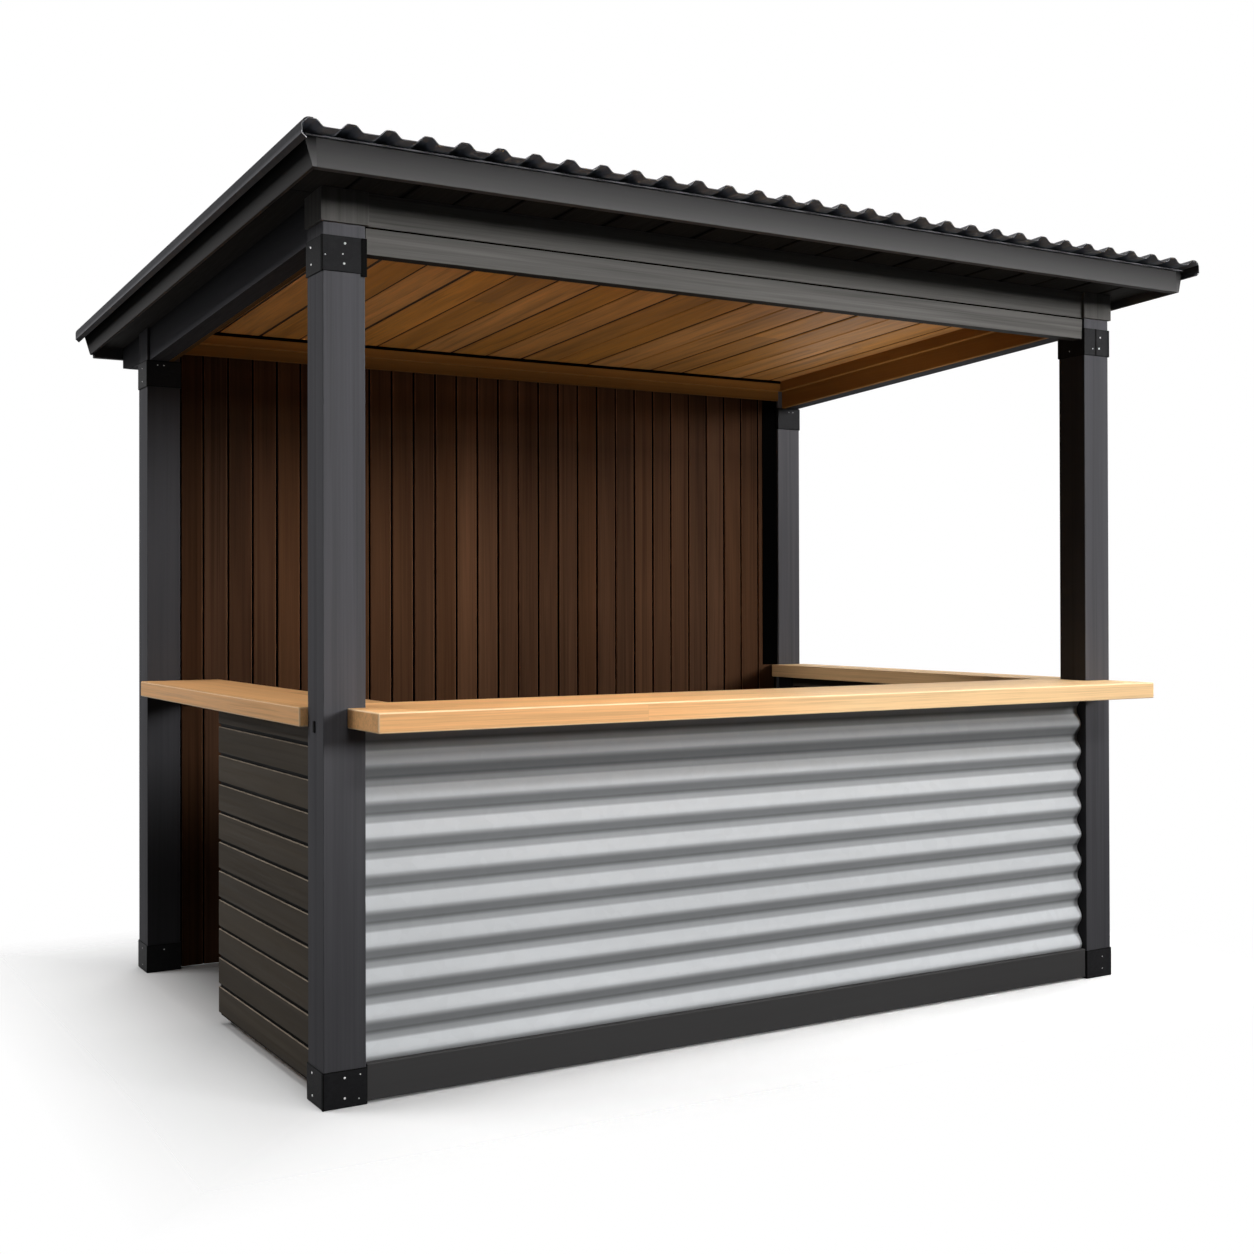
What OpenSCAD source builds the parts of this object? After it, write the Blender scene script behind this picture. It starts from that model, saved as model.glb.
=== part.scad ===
// Open bar gazebo: four posts, a low-pitch roof, a counter on three sides,
// a boarded back wall and a corrugated bar front.
// Millimetres. +X is the right-hand side, the bar front faces -Y, the ground is Z = 0,
// and the origin lies under the middle of the roof.

/* [Frame] */
// Width over the outer faces of the posts
frame_w = 2970; // [2600:10:3400]
// Depth over the outer faces of the posts
frame_d = 1930; // [1700:10:2300]
// Side of the square posts
post_s = 120; // [100:1:140]
// Height of the front posts, up to the seam below their top blocks
front_post_h = 2352; // [2100:1:2600]
// Height of the frieze board and of the blocks over the front posts, at the post faces
frieze_h = 90; // [70:1:110]
// How far the top blocks stand proud of the front posts
block_proud = 8; // [2:1:15]
// Depth of the lower front beam
front_beam_h = 75; // [60:1:120]
// Thickness of the lower front beam
front_beam_t = 45; // [30:1:70]
// How far the lower front beam lies behind the post faces
front_beam_recess = 6; // [0:1:20]
// Thickness of the frieze board over the front beam
frieze_t = 38; // [25:1:60]
// How far the frieze board lies behind the post faces
frieze_recess = 3; // [0:1:20]
// Depth of the side beams
side_beam_h = 118; // [90:1:140]
// Thickness of the side beams
side_beam_t = 70; // [45:1:75]
// How far the side beams lie inside the outer post faces
side_beam_recess = 10; // [0:1:20]
// Depth of the back beam at its outer face
back_beam_h = 100; // [70:1:110]
// Thickness of the back beam
back_beam_t = 45; // [30:1:60]

/* [Steel] */
// Thickness of the steel plate
steel_t = 3; // [2:0.5:5]
// Height of the shoes at the feet of the posts
shoe_h = 100; // [60:1:150]
// Thickness of the floor of a shoe
shoe_floor_t = 5; // [3:1:10]
// Height of the sleeves below the beams
sleeve_h = 96; // [60:1:140]

/* [Roof] */
// Fall of the roof towards the back, in degrees
roof_pitch = 3; // [1:0.5:5]
// Eave in front of the posts, to the face of the fascia
front_eave = 222; // [150:1:300]
// Eave behind the posts, to the face of the fascia
back_eave = 312; // [200:1:400]
// Eave beside the posts, to the foot of the side fascia
side_eave = 108; // [90:1:115]
// How far the barge trims stand out past the foot of the side fascia
barge_over = 47; // [40:1:60]
// Thickness of the ceiling and soffit boards
deck_t = 18; // [12:1:25]
// Number of boards across the ceiling
ceiling_boards = 18; // [12:1:24]
// Height of the fascia boards
fascia_h = 75; // [60:1:90]
// Thickness of the front and back fascia boards
fascia_t = 24; // [15:1:35]
// How far the fascia boards hang below the soffit
fascia_drop = 27; // [10:1:40]
// How far the back fascia hangs below the soffit
back_fascia_drop = 40; // [10:1:60]
// Thickness of the side fascia at its foot
side_fascia_foot = 10; // [6:1:15]
// Thickness of the side fascia at its head
side_fascia_head = 32; // [20:1:35]
// Thickness of the drip edge
drip_t = 5; // [3:1:14]
// Depth of the drip edge over the fascia
drip_d = 44; // [30:1:60]
// How far the drip edge stands proud of the fascia
drip_proud = 7; // [2:1:15]
// Height of the eave batten on the drip edge
batten_h = 4; // [2:1:25]
// How far the eave batten lies behind the front of the fascia
batten_set = 14; // [5:1:25]

/* [Roof sheet] */
// Number of crests across the sheet
crest_count = 32; // [24:1:36]
// Depth of the corrugations
sheet_wave_h = 17; // [10:1:24]
// Thickness of the sheet
sheet_t = 2; // [1:0.5:3]
// Distance from the last crest to the edge of the sheet
sheet_edge = 24; // [18:1:30]
// Gap between the sheet and the wall of a barge trim
sheet_gap = 2; // [1:0.5:4]
// How far the sheet reaches past the front fascia
sheet_front_over = 52; // [20:1:90]
// How far the sheet reaches past the back fascia
sheet_back_over = 30; // [10:1:80]

/* [Barge trims] */
// Thickness of the trim
trim_t = 2; // [1:0.5:3]
// Height of the outer wall of a trim
trim_wall_h = 42; // [36:1:50]
// Length of the lip over the last crest
trim_lip = 30; // [28:1:40]
// Radius of the rolled top corner
trim_corner_r = 20; // [10:1:22]
// Drop of the slanted return under the wall
trim_return_drop = 10; // [6:1:14]
// Width of the slanted return under the wall
trim_return_w = 12; // [8:1:16]

/* [Back wall] */
// Thickness of the wall boards
wall_t = 22; // [16:1:30]
// How far the wall lies behind the front faces of the back posts
wall_recess = 15; // [5:1:30]
// Number of boards across the wall
wall_boards = 29; // [18:1:36]
// Width of the grooves between boards
groove_w = 7; // [3:0.5:10]
// Depth of the grooves between boards
groove_d = 4; // [2:0.5:6]

/* [Inside trim] */
// Depth of the upper step of the trim
trim_upper_h = 44; // [30:1:60]
// Depth of the lower step of the trim at the back wall
trim_lower_h = 42; // [25:1:60]
// Thickness of the upper step
trim_upper_t = 34; // [24:1:45]
// Thickness of the lower step
trim_lower_t = 18; // [10:1:20]

/* [Counter] */
// Height of the counter's top face
counter_h = 1060; // [950:1:1150]
// Thickness of the counter boards
counter_t = 54; // [35:1:70]
// How far the counter reaches in front of the posts
counter_front = 217; // [150:1:250]
// Distance from the front post faces to the inner edge of the front counter
counter_back = 185; // [150:1:300]
// How far the front counter's left end lies inside the outer post face
counter_left_inset = 67; // [20:1:90]
// How far the front counter's right end lies inside the outer post face
counter_right_inset = 21; // [0:1:90]
// Distance from the left outer post faces to the inner edge of the left counter
left_counter_in = 264; // [180:1:400]
// Distance from the right outer post faces to the inner edge of the right counter
right_counter_in = 160; // [150:1:400]
// How far the side counters stand proud of the outer post faces
counter_side_proud = 24; // [0:1:60]

/* [Bar front and side panels] */
// Gap between the ground and the wall and kick boards
ground_gap = 6; // [2:1:20]
// Height of the top of the kick board
skirt_h = 106; // [101:1:180]
// Thickness of the kick board
skirt_t = 45; // [40:1:70]
// How far the kick board lies behind the post faces
skirt_recess = 3; // [0:1:8]
// Pitch of the corrugations of the bar front
front_wave_pitch = 98; // [60:1:130]
// Length of the first corrugation that the kick board cuts off
front_wave_start = 34; // [0:1:90]
// Depth of the corrugations of the bar front
front_wave_h = 20; // [12:1:26]
// Thickness of the bar front sheet
front_sheet_t = 2; // [1:0.5:3]
// Distance from the post faces to the middle of the bar front sheet
front_sheet_recess = 30; // [26:1:32]
// Gap between the bar front sheet and the posts
front_sheet_gap = 4; // [1:1:10]
// Height of the rail below the front counter
rail_h = 70; // [40:1:100]
// Thickness of the rail below the front counter
rail_t = 45; // [30:1:60]
// Gap between the bar front sheet and the rail
rail_gap = 0.3; // [0.1:0.1:0.8]
// Thickness of the side panel boards
panel_t = 22; // [16:1:30]
// How far the side panels lie inside the outer post faces
panel_recess = 20; // [0:1:40]
// Length of the left panel behind the front post
left_panel_len = 880; // [500:10:1100]
// Gap between the ground and the side panels
panel_gap = 28; // [2:1:60]
// Width of the side panel boards, of which the topmost is cut to fit
panel_board_w = 92; // [70:1:120]
// Width of the stud at the free end of the left panel
stud_w = 45; // [30:1:70]
// Depth of the stud at the free end of the left panel
stud_d = 60; // [40:1:90]

/* [Hidden] */

charcoal = "#3b3b3f";
black_steel = "#1d1d20";
honey_wood = "#d19a5c";
ceiling_wood = "#8d5f38";
walnut = "#4a2f22";
panel_brown = "#3a322f";
roof_black = "#2f2f33";
galvanised = "#aeb2b5";

// How far cuts run past the faces that they open
overrun = 20;
// Gap between the steel sleeves and the beams above them
sleeve_gap = 0.5;
// Shares of a corrugation that the flat crest and one slope of the roof sheet take up
crest_share = 0.1;
slope_share = 0.25;
// Places on a slope where the roof sheet bends
bend_shares = [0, 0.25, 0.5, 0.75, 1];
// Facets in one corrugation of the bar front, and in a quarter turn of a trim corner
wave_facets = 16;
corner_facets = 6;
// Shares of a rafter tail's length where its lower edge turns, and of the side beam's depth there
tail_shares = [[0, 0.96], [0.42, 0.81], [0.63, 0.83], [1, 0.64]];

// Frame
half_w = frame_w / 2;
roof_half = half_w + side_eave + barge_over;
roof_w = 2 * roof_half;
inner_half = half_w - post_s;
clear_half = inner_half - steel_t;
shoe_s = post_s + 2 * steel_t;
along = 1 / cos(roof_pitch);
// Height of the soffit at the front post faces
soffit_h = front_post_h + frieze_h;

// Heights over the soffit, measured square to the fall of the roof
fascia_top = fascia_h - fascia_drop;
sheet_low = fascia_top + drip_t + batten_h;
sheet_high = sheet_low + sheet_t + sheet_wave_h;
trim_top = sheet_high + trim_t;
trim_low = trim_top - trim_wall_h - trim_return_drop - trim_t;

// Places along the fall of the roof, from the front post faces
fascia_front_v = -front_eave;
fascia_back_v = frame_d * along + back_eave;
back_fascia_v = fascia_back_v - fascia_t;
sheet_front_v = fascia_front_v - sheet_front_over;
sheet_back_v = fascia_back_v + sheet_back_over;
deck_front_v = post_s / 2 * along;
deck_back_v = (frame_d - post_s / 2) * along;

// Depth of the posts in plan: the roof is centred on the origin
roof_reach = (sheet_front_v + sheet_back_v) * cos(roof_pitch) + (trim_low + trim_top) * sin(roof_pitch);
front_y = -roof_reach / 2;
back_y = front_y + frame_d;
bay_front_y = front_y + post_s;
bay_back_y = back_y - post_s;
wall_y = bay_back_y + wall_recess;

// Widths of the roof
deck_half = half_w - post_s / 2;
soffit_half = half_w + side_eave - side_fascia_foot;
sheet_half = roof_half - trim_t - sheet_gap;
sheet_pitch = 2 * (sheet_half - sheet_edge) / (crest_count - 1);
soffit_boards = round(ceiling_boards * soffit_half / deck_half);

// Counter and panels
counter_low = counter_h - counter_t;
panel_outer = half_w - panel_recess;
panel_inner = panel_outer - panel_t;
sheet_y = front_y + front_sheet_recess;
rail_y = sheet_y + (front_wave_h + front_sheet_t) / 2 + rail_gap;

// Height of the soffit over a place in plan
function deck_z(y) = soffit_h - (y - front_y) * tan(roof_pitch);

// Lower corner of the post on the left (-1) or on the right (1)
function post_x(side) = side < 0 ? -half_w : inner_half;

// Top of a sleeve below a side beam that comes down to the given place in plan
function sleeve_top(y) = deck_z(y) - side_beam_h * along - sleeve_gap;

// Height of a corrugation, as a share of its depth, at a share of its pitch from the crest
function crest_rise(s) =
    let (down = min(1, max(0, (abs(s) - crest_share / 2) / slope_share)))
    (1 + cos(180 * down)) / 2;

// Closed outline of a strip of even thickness along a path
function turned(d) = [-d[1], d[0]] / norm(d);
function path_normal(path, i) =
    turned(path[min(i + 1, len(path) - 1)] - path[max(i - 1, 0)]);
function strip_side(path, offset) =
    [for (i = [0 : len(path) - 1]) path[i] + offset * path_normal(path, i)];
function reversed(points) = [for (i = [len(points) - 1 : -1 : 0]) points[i]];
function strip_outline(path, t) =
    concat(strip_side(path, t / 2), reversed(strip_side(path, -t / 2)));

// Points on an arc about a centre
function arc(centre, r, from, to) =
    [for (i = [0 : corner_facets])
        let (a = from + (to - from) * i / corner_facets)
        centre + r * [cos(a), sin(a)]];

// Puts what is drawn square to the roof onto its fall
module on_fall() {
    translate([0, front_y, soffit_h])
        rotate([-roof_pitch, 0, 0])
            children();
}

// Cuts off what stands above the soffit
module under_deck() {
    difference() {
        children();
        on_fall()
            translate([-roof_w, sheet_front_v, 0])
                cube([2 * roof_w, sheet_back_v - sheet_front_v, roof_w]);
    }
}

// Keeps only what lies between two places in plan
module between(y0, y1) {
    intersection() {
        children();
        translate([-roof_w, y0, 0])
            cube([2 * roof_w, y1 - y0, 2 * soffit_h]);
    }
}

// Extrudes an outline drawn in X and Z along Y
module along_y(y0, y1) {
    translate([0, y1, 0])
        rotate([90, 0, 0])
            linear_extrude(y1 - y0)
                children();
}

// Extrudes an outline drawn in Y and Z along X
module along_x(x0, x1) {
    translate([x0, 0, 0])
        rotate([90, 0, 90])
            linear_extrude(x1 - x0)
                children();
}

// Draws one side's piece on the left (-1) or on the right (1)
module on_side(side) {
    if (side > 0) children();
    else mirror([1, 0, 0]) children();
}

// Outline of boards side by side, with a V groove at each joint on both faces
module boards(length, thickness, width) {
    joints = [for (x = [width : width : length - groove_w]) x];
    groove = [[-groove_w / 2, 0], [0, groove_d], [groove_w / 2, 0]];
    lower = [for (x = joints) for (p = groove) [x, 0] + p];
    upper = [for (x = reversed(joints)) for (p = groove) [x, thickness] - p];
    polygon(concat(
        [[0, 0]], lower, [[length, 0], [length, thickness]], upper, [[0, thickness]]
    ));
}

module front_post(side) {
    color(charcoal)
        translate([post_x(side), front_y, shoe_floor_t])
            cube([post_s, post_s, front_post_h - shoe_floor_t]);
}

module back_post(side) {
    color(charcoal)
        under_deck()
            translate([post_x(side), bay_back_y, shoe_floor_t])
                cube([post_s, post_s, soffit_h]);
}

// Steel shoe that holds the foot of a post
module base_shoe(side, y) {
    color(black_steel)
        translate([post_x(side) - steel_t, y - steel_t, 0])
            difference() {
                cube([shoe_s, shoe_s, shoe_h]);
                translate([steel_t, steel_t, shoe_floor_t])
                    cube([post_s, post_s, shoe_h]);
            }
}

// Steel sleeve round a post, right below the side beam
module top_sleeve(side, y, top) {
    color(black_steel)
        translate([post_x(side) - steel_t, y - steel_t, top - sleeve_h])
            difference() {
                cube([shoe_s, shoe_s, sleeve_h]);
                translate([steel_t, steel_t, -overrun])
                    cube([post_s, post_s, sleeve_h + 2 * overrun]);
            }
}

module front_sleeve(side) {
    top_sleeve(side, front_y, sleeve_top(bay_front_y + steel_t));
}

module back_sleeve(side) {
    top_sleeve(side, bay_back_y, sleeve_top(bay_back_y));
}

// Blocks between the front posts and the soffit
module post_blocks() {
    color(charcoal)
        for (side = [-1, 1])
            under_deck()
                translate([post_x(side) - block_proud, front_y - block_proud, front_post_h])
                    cube([post_s + 2 * block_proud, post_s + block_proud, soffit_h]);
}

module front_beam() {
    color(charcoal)
        translate([-clear_half, front_y + front_beam_recess, front_post_h - front_beam_h])
            cube([2 * clear_half, front_beam_t, front_beam_h]);
}

// Board over the front beam, between the post blocks
module front_frieze() {
    frieze_half = inner_half - block_proud;
    color(charcoal)
        under_deck()
            translate([-frieze_half, front_y + frieze_recess, front_post_h])
                cube([2 * frieze_half, frieze_t, soffit_h]);
}

// Beam between a front and a back post, on the fall of the roof
module side_beam(side) {
    color(charcoal)
        on_side(side)
            between(bay_front_y, bay_back_y)
                on_fall()
                    translate([half_w - side_beam_recess - side_beam_t, 0, -side_beam_h])
                        cube([side_beam_t, fascia_back_v, side_beam_h]);
}

module back_beam() {
    low = deck_z(back_y) - back_beam_h;
    color(charcoal)
        under_deck()
            translate([-clear_half, wall_y + wall_t, low])
                cube([2 * clear_half, back_beam_t, soffit_h]);
}

// Tapered brackets behind the back posts that carry the back eave
module rafter_tails() {
    root_v = frame_d * along;
    length = back_fascia_v - root_v;
    outer = half_w - side_beam_recess;
    lower = [for (s = tail_shares) [root_v + length * s[0], -side_beam_h * s[1]]];
    color(charcoal)
        for (side = [-1, 1])
            on_side(side)
                between(back_y, back_y + fascia_back_v)
                    on_fall()
                        along_x(outer - side_beam_t, outer)
                            polygon(concat([[root_v, 0]], lower, [[back_fascia_v, 0]]));
}

// Two-step trim where the back wall meets the ceiling
module back_trim() {
    upper_y = wall_y - trim_upper_t;
    lower_y = wall_y - trim_lower_t;
    step_z = deck_z(wall_y) - trim_upper_h;
    color(ceiling_wood)
        under_deck()
            along_x(-inner_half, inner_half)
                polygon([
                    [wall_y, step_z - trim_lower_h],
                    [wall_y, soffit_h],
                    [upper_y, soffit_h],
                    [upper_y, step_z],
                    [lower_y, step_z],
                    [lower_y, step_z - trim_lower_h]
                ]);
}

// Two-step lining on the inner face of a side beam
module side_lining(side) {
    face = half_w - side_beam_recess - side_beam_t;
    color(ceiling_wood)
        on_side(side)
            between(bay_front_y, bay_back_y)
                on_fall()
                    along_y(0, fascia_back_v)
                        polygon([
                            [face, 0],
                            [face, -side_beam_h],
                            [face - trim_lower_t, -side_beam_h],
                            [face - trim_lower_t, -trim_upper_h],
                            [face - trim_upper_t, -trim_upper_h],
                            [face - trim_upper_t, 0]
                        ]);
}

// Boarding over the beams, its boards running from v0 to v1 along the fall
module deck(x0, x1, v0, v1, count) {
    on_fall()
        along_y(v0, v1)
            translate([x0, 0])
                boards(x1 - x0, deck_t, (x1 - x0) / count);
}

module ceiling() {
    color(ceiling_wood)
        deck(-deck_half, deck_half, deck_front_v, deck_back_v, ceiling_boards);
}

module soffit_front() {
    color(roof_black)
        deck(-soffit_half, soffit_half, fascia_front_v + fascia_t, deck_front_v, soffit_boards);
}

module soffit_back() {
    color(roof_black)
        deck(-soffit_half, soffit_half, deck_back_v, back_fascia_v, soffit_boards);
}

module side_soffits() {
    color(roof_black)
        for (side = [-1, 1])
            on_side(side)
                deck(deck_half, soffit_half, deck_front_v, deck_back_v, soffit_boards - ceiling_boards);
}

// Fascia board across the roof at v along the fall, from below the soffit to a height over it
module cross_fascia(v, drop, top) {
    color(charcoal)
        on_fall()
            translate([-soffit_half, v, -drop])
                cube([2 * soffit_half, fascia_t, drop + top]);
}

// Side fascia: upright inside, leaning out towards its head outside
module side_fascia(side) {
    color(charcoal)
        on_side(side)
            on_fall()
                along_y(fascia_front_v, fascia_back_v)
                    polygon([
                        [soffit_half, -fascia_drop],
                        [soffit_half + side_fascia_foot, -fascia_drop],
                        [soffit_half + side_fascia_head, fascia_top],
                        [soffit_half, fascia_top]
                    ]);
}

// Drip edge on the front fascia, with the batten that carries the sheet
module front_drip_edge() {
    edge_half = soffit_half + side_fascia_head;
    back_v = fascia_front_v + drip_d;
    color(roof_black)
        on_fall()
            along_x(-edge_half, edge_half)
                polygon([
                    [fascia_front_v - drip_proud, fascia_top],
                    [back_v, fascia_top],
                    [back_v, sheet_low],
                    [fascia_front_v + batten_set, sheet_low],
                    [fascia_front_v + batten_set, fascia_top + drip_t],
                    [fascia_front_v - drip_proud, fascia_top + drip_t]
                ]);
}

// Corrugated sheet, its crests running down the fall
module roof_sheet() {
    first_crest = -sheet_pitch * (crest_count - 1) / 2;
    slope = [for (b = bend_shares) crest_share / 2 + b * slope_share];
    bends = concat(-reversed(slope), slope);
    inside = [
        for (i = [0 : crest_count - 1]) for (s = bends)
            let (x = first_crest + (i + s) * sheet_pitch)
            if (abs(x) < sheet_half) [x, sheet_wave_h * crest_rise(s)]
    ];
    edge_rise = sheet_wave_h * crest_rise(sheet_edge / sheet_pitch);
    line = concat([[-sheet_half, edge_rise]], inside, [[sheet_half, edge_rise]]);
    top = [for (p = line) p + [0, sheet_low + sheet_t]];
    under = [for (p = reversed(line)) p + [0, sheet_low]];
    color(roof_black)
        on_fall()
            along_y(sheet_front_v, sheet_back_v)
                polygon(concat(top, under));
}

// Trim rolled over the last crest, with a slanted return below its wall
module barge_trim(side) {
    wall_x = roof_half - trim_t / 2;
    top = trim_top - trim_t / 2;
    foot = top - trim_wall_h;
    path = concat(
        [[wall_x - trim_lip, top]],
        arc([wall_x - trim_corner_r, top - trim_corner_r], trim_corner_r, 90, 0),
        [[wall_x, foot], [wall_x - trim_return_w, foot - trim_return_drop]]
    );
    color(roof_black)
        on_side(side)
            on_fall()
                along_y(sheet_front_v, sheet_back_v)
                    polygon(strip_outline(path, trim_t));
}

// Upright boards between the back posts
module back_wall() {
    color(walnut)
        under_deck()
            translate([-clear_half, wall_y, ground_gap])
                linear_extrude(soffit_h)
                    boards(2 * clear_half, wall_t, 2 * clear_half / wall_boards);
}

// Level boards below a side counter
module side_panel(side, y0, y1) {
    color(panel_brown)
        on_side(side)
            along_y(y0, y1)
                translate([panel_outer, panel_gap])
                    rotate(90)
                        boards(counter_low - panel_gap, panel_t, panel_board_w);
}

module left_panel() {
    side_panel(-1, bay_front_y + steel_t, bay_front_y + left_panel_len);
}

module right_panel() {
    side_panel(1, bay_front_y + steel_t, bay_back_y - steel_t);
}

// Stud at the free end of the left panel
module left_panel_stud() {
    color(panel_brown)
        translate([-panel_inner, bay_front_y + left_panel_len - stud_w, panel_gap])
            cube([stud_d, stud_w, counter_low - panel_gap]);
}

// Corrugated bar front, its corrugations level
module front_sheet() {
    height = counter_low - skirt_h;
    steps = ceil(height / front_wave_pitch * wave_facets);
    line = [
        for (i = [0 : steps])
            let (z = height * i / steps)
            [front_wave_h / 2 * cos(360 * (z + front_wave_start) / front_wave_pitch), z]
    ];
    front = [for (p = line) p - [front_sheet_t / 2, 0]];
    back = [for (p = reversed(line)) p + [front_sheet_t / 2, 0]];
    color(galvanised)
        translate([0, sheet_y, skirt_h])
            along_x(-inner_half + front_sheet_gap, inner_half - front_sheet_gap)
                polygon(concat(front, back));
}

// Kick board between the feet of the front posts
module front_skirt() {
    color(charcoal)
        translate([-clear_half, front_y + skirt_recess, ground_gap])
            cube([2 * clear_half, skirt_t, skirt_h - ground_gap]);
}

// Rail behind the bar front that carries the counter
module front_rail() {
    color(panel_brown)
        translate([-inner_half, rail_y, counter_low - rail_h])
            cube([2 * inner_half, rail_t, rail_h]);
}

module counter_board(outline) {
    color(honey_wood)
        translate([0, 0, counter_low])
            linear_extrude(counter_t)
                polygon(outline);
}

// Bar top, notched round the front posts
module counter_front_board() {
    left = -half_w + counter_left_inset;
    right = half_w - counter_right_inset;
    counter_board([
        [left, front_y - counter_front],
        [right, front_y - counter_front],
        [right, front_y],
        [inner_half, front_y],
        [inner_half, front_y + counter_back],
        [-inner_half, front_y + counter_back],
        [-inner_half, front_y],
        [left, front_y]
    ]);
}

// Side counter between two posts, notched for the front counter
module side_counter(side, inner) {
    outer = half_w + counter_side_proud;
    on_side(side)
        counter_board([
            [outer, bay_front_y],
            [outer, bay_back_y],
            [half_w - inner, bay_back_y],
            [half_w - inner, front_y + counter_back],
            [inner_half, front_y + counter_back],
            [inner_half, bay_front_y]
        ]);
}

front_post(-1);  // post_front_left
front_post(1);  // post_front_right
back_post(-1);  // post_back_left
back_post(1);  // post_back_right
base_shoe(-1, front_y);  // base_shoe_front_left
base_shoe(1, front_y);  // base_shoe_front_right
base_shoe(-1, bay_back_y);  // base_shoe_back_left
base_shoe(1, bay_back_y);  // base_shoe_back_right
front_sleeve(-1);  // top_sleeve_front_left
front_sleeve(1);  // top_sleeve_front_right
back_sleeve(-1);  // top_sleeve_back_left
back_sleeve(1);  // top_sleeve_back_right
post_blocks();
front_beam();
front_frieze();
side_beam(-1);  // side_beam_left
side_beam(1);  // side_beam_right
back_beam();
rafter_tails();
back_trim();
side_lining(-1);  // side_lining_left
side_lining(1);  // side_lining_right
ceiling();
soffit_front();
soffit_back();
side_soffits();
cross_fascia(fascia_front_v, fascia_drop, fascia_top);  // fascia_front
cross_fascia(back_fascia_v, back_fascia_drop, sheet_low);  // fascia_back
side_fascia(-1);  // fascia_left
side_fascia(1);  // fascia_right
front_drip_edge();
roof_sheet();
barge_trim(-1);  // barge_trim_left
barge_trim(1);  // barge_trim_right
back_wall();
left_panel();
left_panel_stud();
right_panel();
front_sheet();
front_skirt();
front_rail();
counter_front_board();  // counter_front
side_counter(-1, left_counter_in);  // counter_left
side_counter(1, right_counter_in);  // counter_right
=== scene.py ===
import math
import random
from typing import NamedTuple

import bmesh
import bpy
from mathutils import Matrix, Vector


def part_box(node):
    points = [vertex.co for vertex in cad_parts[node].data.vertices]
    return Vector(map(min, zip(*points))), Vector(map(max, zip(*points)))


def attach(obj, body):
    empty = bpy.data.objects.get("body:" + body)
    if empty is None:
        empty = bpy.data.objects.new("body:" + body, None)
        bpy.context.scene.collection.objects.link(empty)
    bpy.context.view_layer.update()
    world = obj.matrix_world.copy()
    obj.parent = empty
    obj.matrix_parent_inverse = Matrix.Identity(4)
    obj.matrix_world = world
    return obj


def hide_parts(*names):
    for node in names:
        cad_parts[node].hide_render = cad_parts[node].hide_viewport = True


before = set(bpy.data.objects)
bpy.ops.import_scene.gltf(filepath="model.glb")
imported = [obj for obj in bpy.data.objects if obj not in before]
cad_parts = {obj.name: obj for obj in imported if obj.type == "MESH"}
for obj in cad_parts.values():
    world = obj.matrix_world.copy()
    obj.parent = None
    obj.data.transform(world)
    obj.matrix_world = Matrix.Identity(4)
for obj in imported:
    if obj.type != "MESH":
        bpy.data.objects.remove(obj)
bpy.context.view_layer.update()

RNG = random.Random(11)


# Ways and places in the frame, where the roof falls to the back

PITCH = math.radians(3)
ACROSS, BACKWARD, UP = (Vector(row) for row in Matrix.Identity(3))
DOWN_ROOF = Vector((0, math.cos(PITCH), -math.sin(PITCH)))
OFF_ROOF = Vector((0, math.sin(PITCH), math.cos(PITCH)))


def span_of(node, way):
    """The first and the last place of a node along a way."""
    places = [way.dot(v.co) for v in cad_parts[node].data.vertices]
    return min(places), max(places)


def on_roof(x, v, w):
    """The point at x across the roof, v down its fall and w square off it."""
    return x * ACROSS + v * DOWN_ROOF + w * OFF_ROOF


FRONT_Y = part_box("post_front_left")[0].y
BACK_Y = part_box("post_back_left")[1].y
FRAME_D = BACK_Y - FRONT_Y
HALF_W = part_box("post_front_right")[1].x
FASCIA_FRONT_V = span_of("fascia_front", DOWN_ROOF)[0]
FASCIA_BACK_V = span_of("fascia_back", DOWN_ROOF)[1]
SHEET_FRONT_V, SHEET_BACK_V = span_of("roof_sheet", DOWN_ROOF)
SHEET_LOW, SHEET_HIGH = span_of("roof_sheet", OFF_ROOF)
SHEET_HALF = span_of("roof_sheet", ACROSS)[1]
TRIM_HALF = span_of("barge_trim_right", ACROSS)[1]
TRIM_HIGH = span_of("barge_trim_right", OFF_ROOF)[1]

# Sizes that the nodes don't tell, as in the part's source
CEILING_BOARDS = 18
WALL_BOARDS = 29
PANEL_BOARD = 0.092
SHEET_T = 0.002
SHEET_WAVE = SHEET_HIGH - SHEET_LOW - SHEET_T
CRESTS = 32
# From the side of the roof sheet to its first crest
SHEET_EDGE = 0.024
SHEET_PITCH = 2 * (SHEET_HALF - SHEET_EDGE) / (CRESTS - 1)
FIRST_CREST = -SHEET_PITCH * (CRESTS - 1) / 2
# Shares of the pitch that a flat crest and each slope take up
CREST_SHARE, SLOPE_SHARE = 0.16, 0.23
TRIM_T = 0.002
TRIM_WALL, TRIM_LIP, TRIM_R = 0.042, 0.030, 0.020
TRIM_RETURN_W, TRIM_RETURN_DROP = 0.012, 0.010
FRONT_WAVE = 0.020
FRONT_WAVE_PITCH = 0.098
FRONT_WAVE_START = 0.034


# Node trees

AXIS = {"x": 0, "y": 1, "z": 2}


def shade(colour, factor):
    return tuple(min(1.0, c * factor) for c in colour)


def rgba(colour):
    """A colour with its alpha. A socket stays as it is."""
    return colour if isinstance(colour, bpy.types.NodeSocket) else (*colour, 1)


def stretched(fine, coarse=None, along=None):
    """Scale of a texture: fine, or coarse along an axis."""
    scale = [fine] * 3
    if along:
        scale[AXIS[along]] = coarse
    return tuple(scale)


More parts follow.
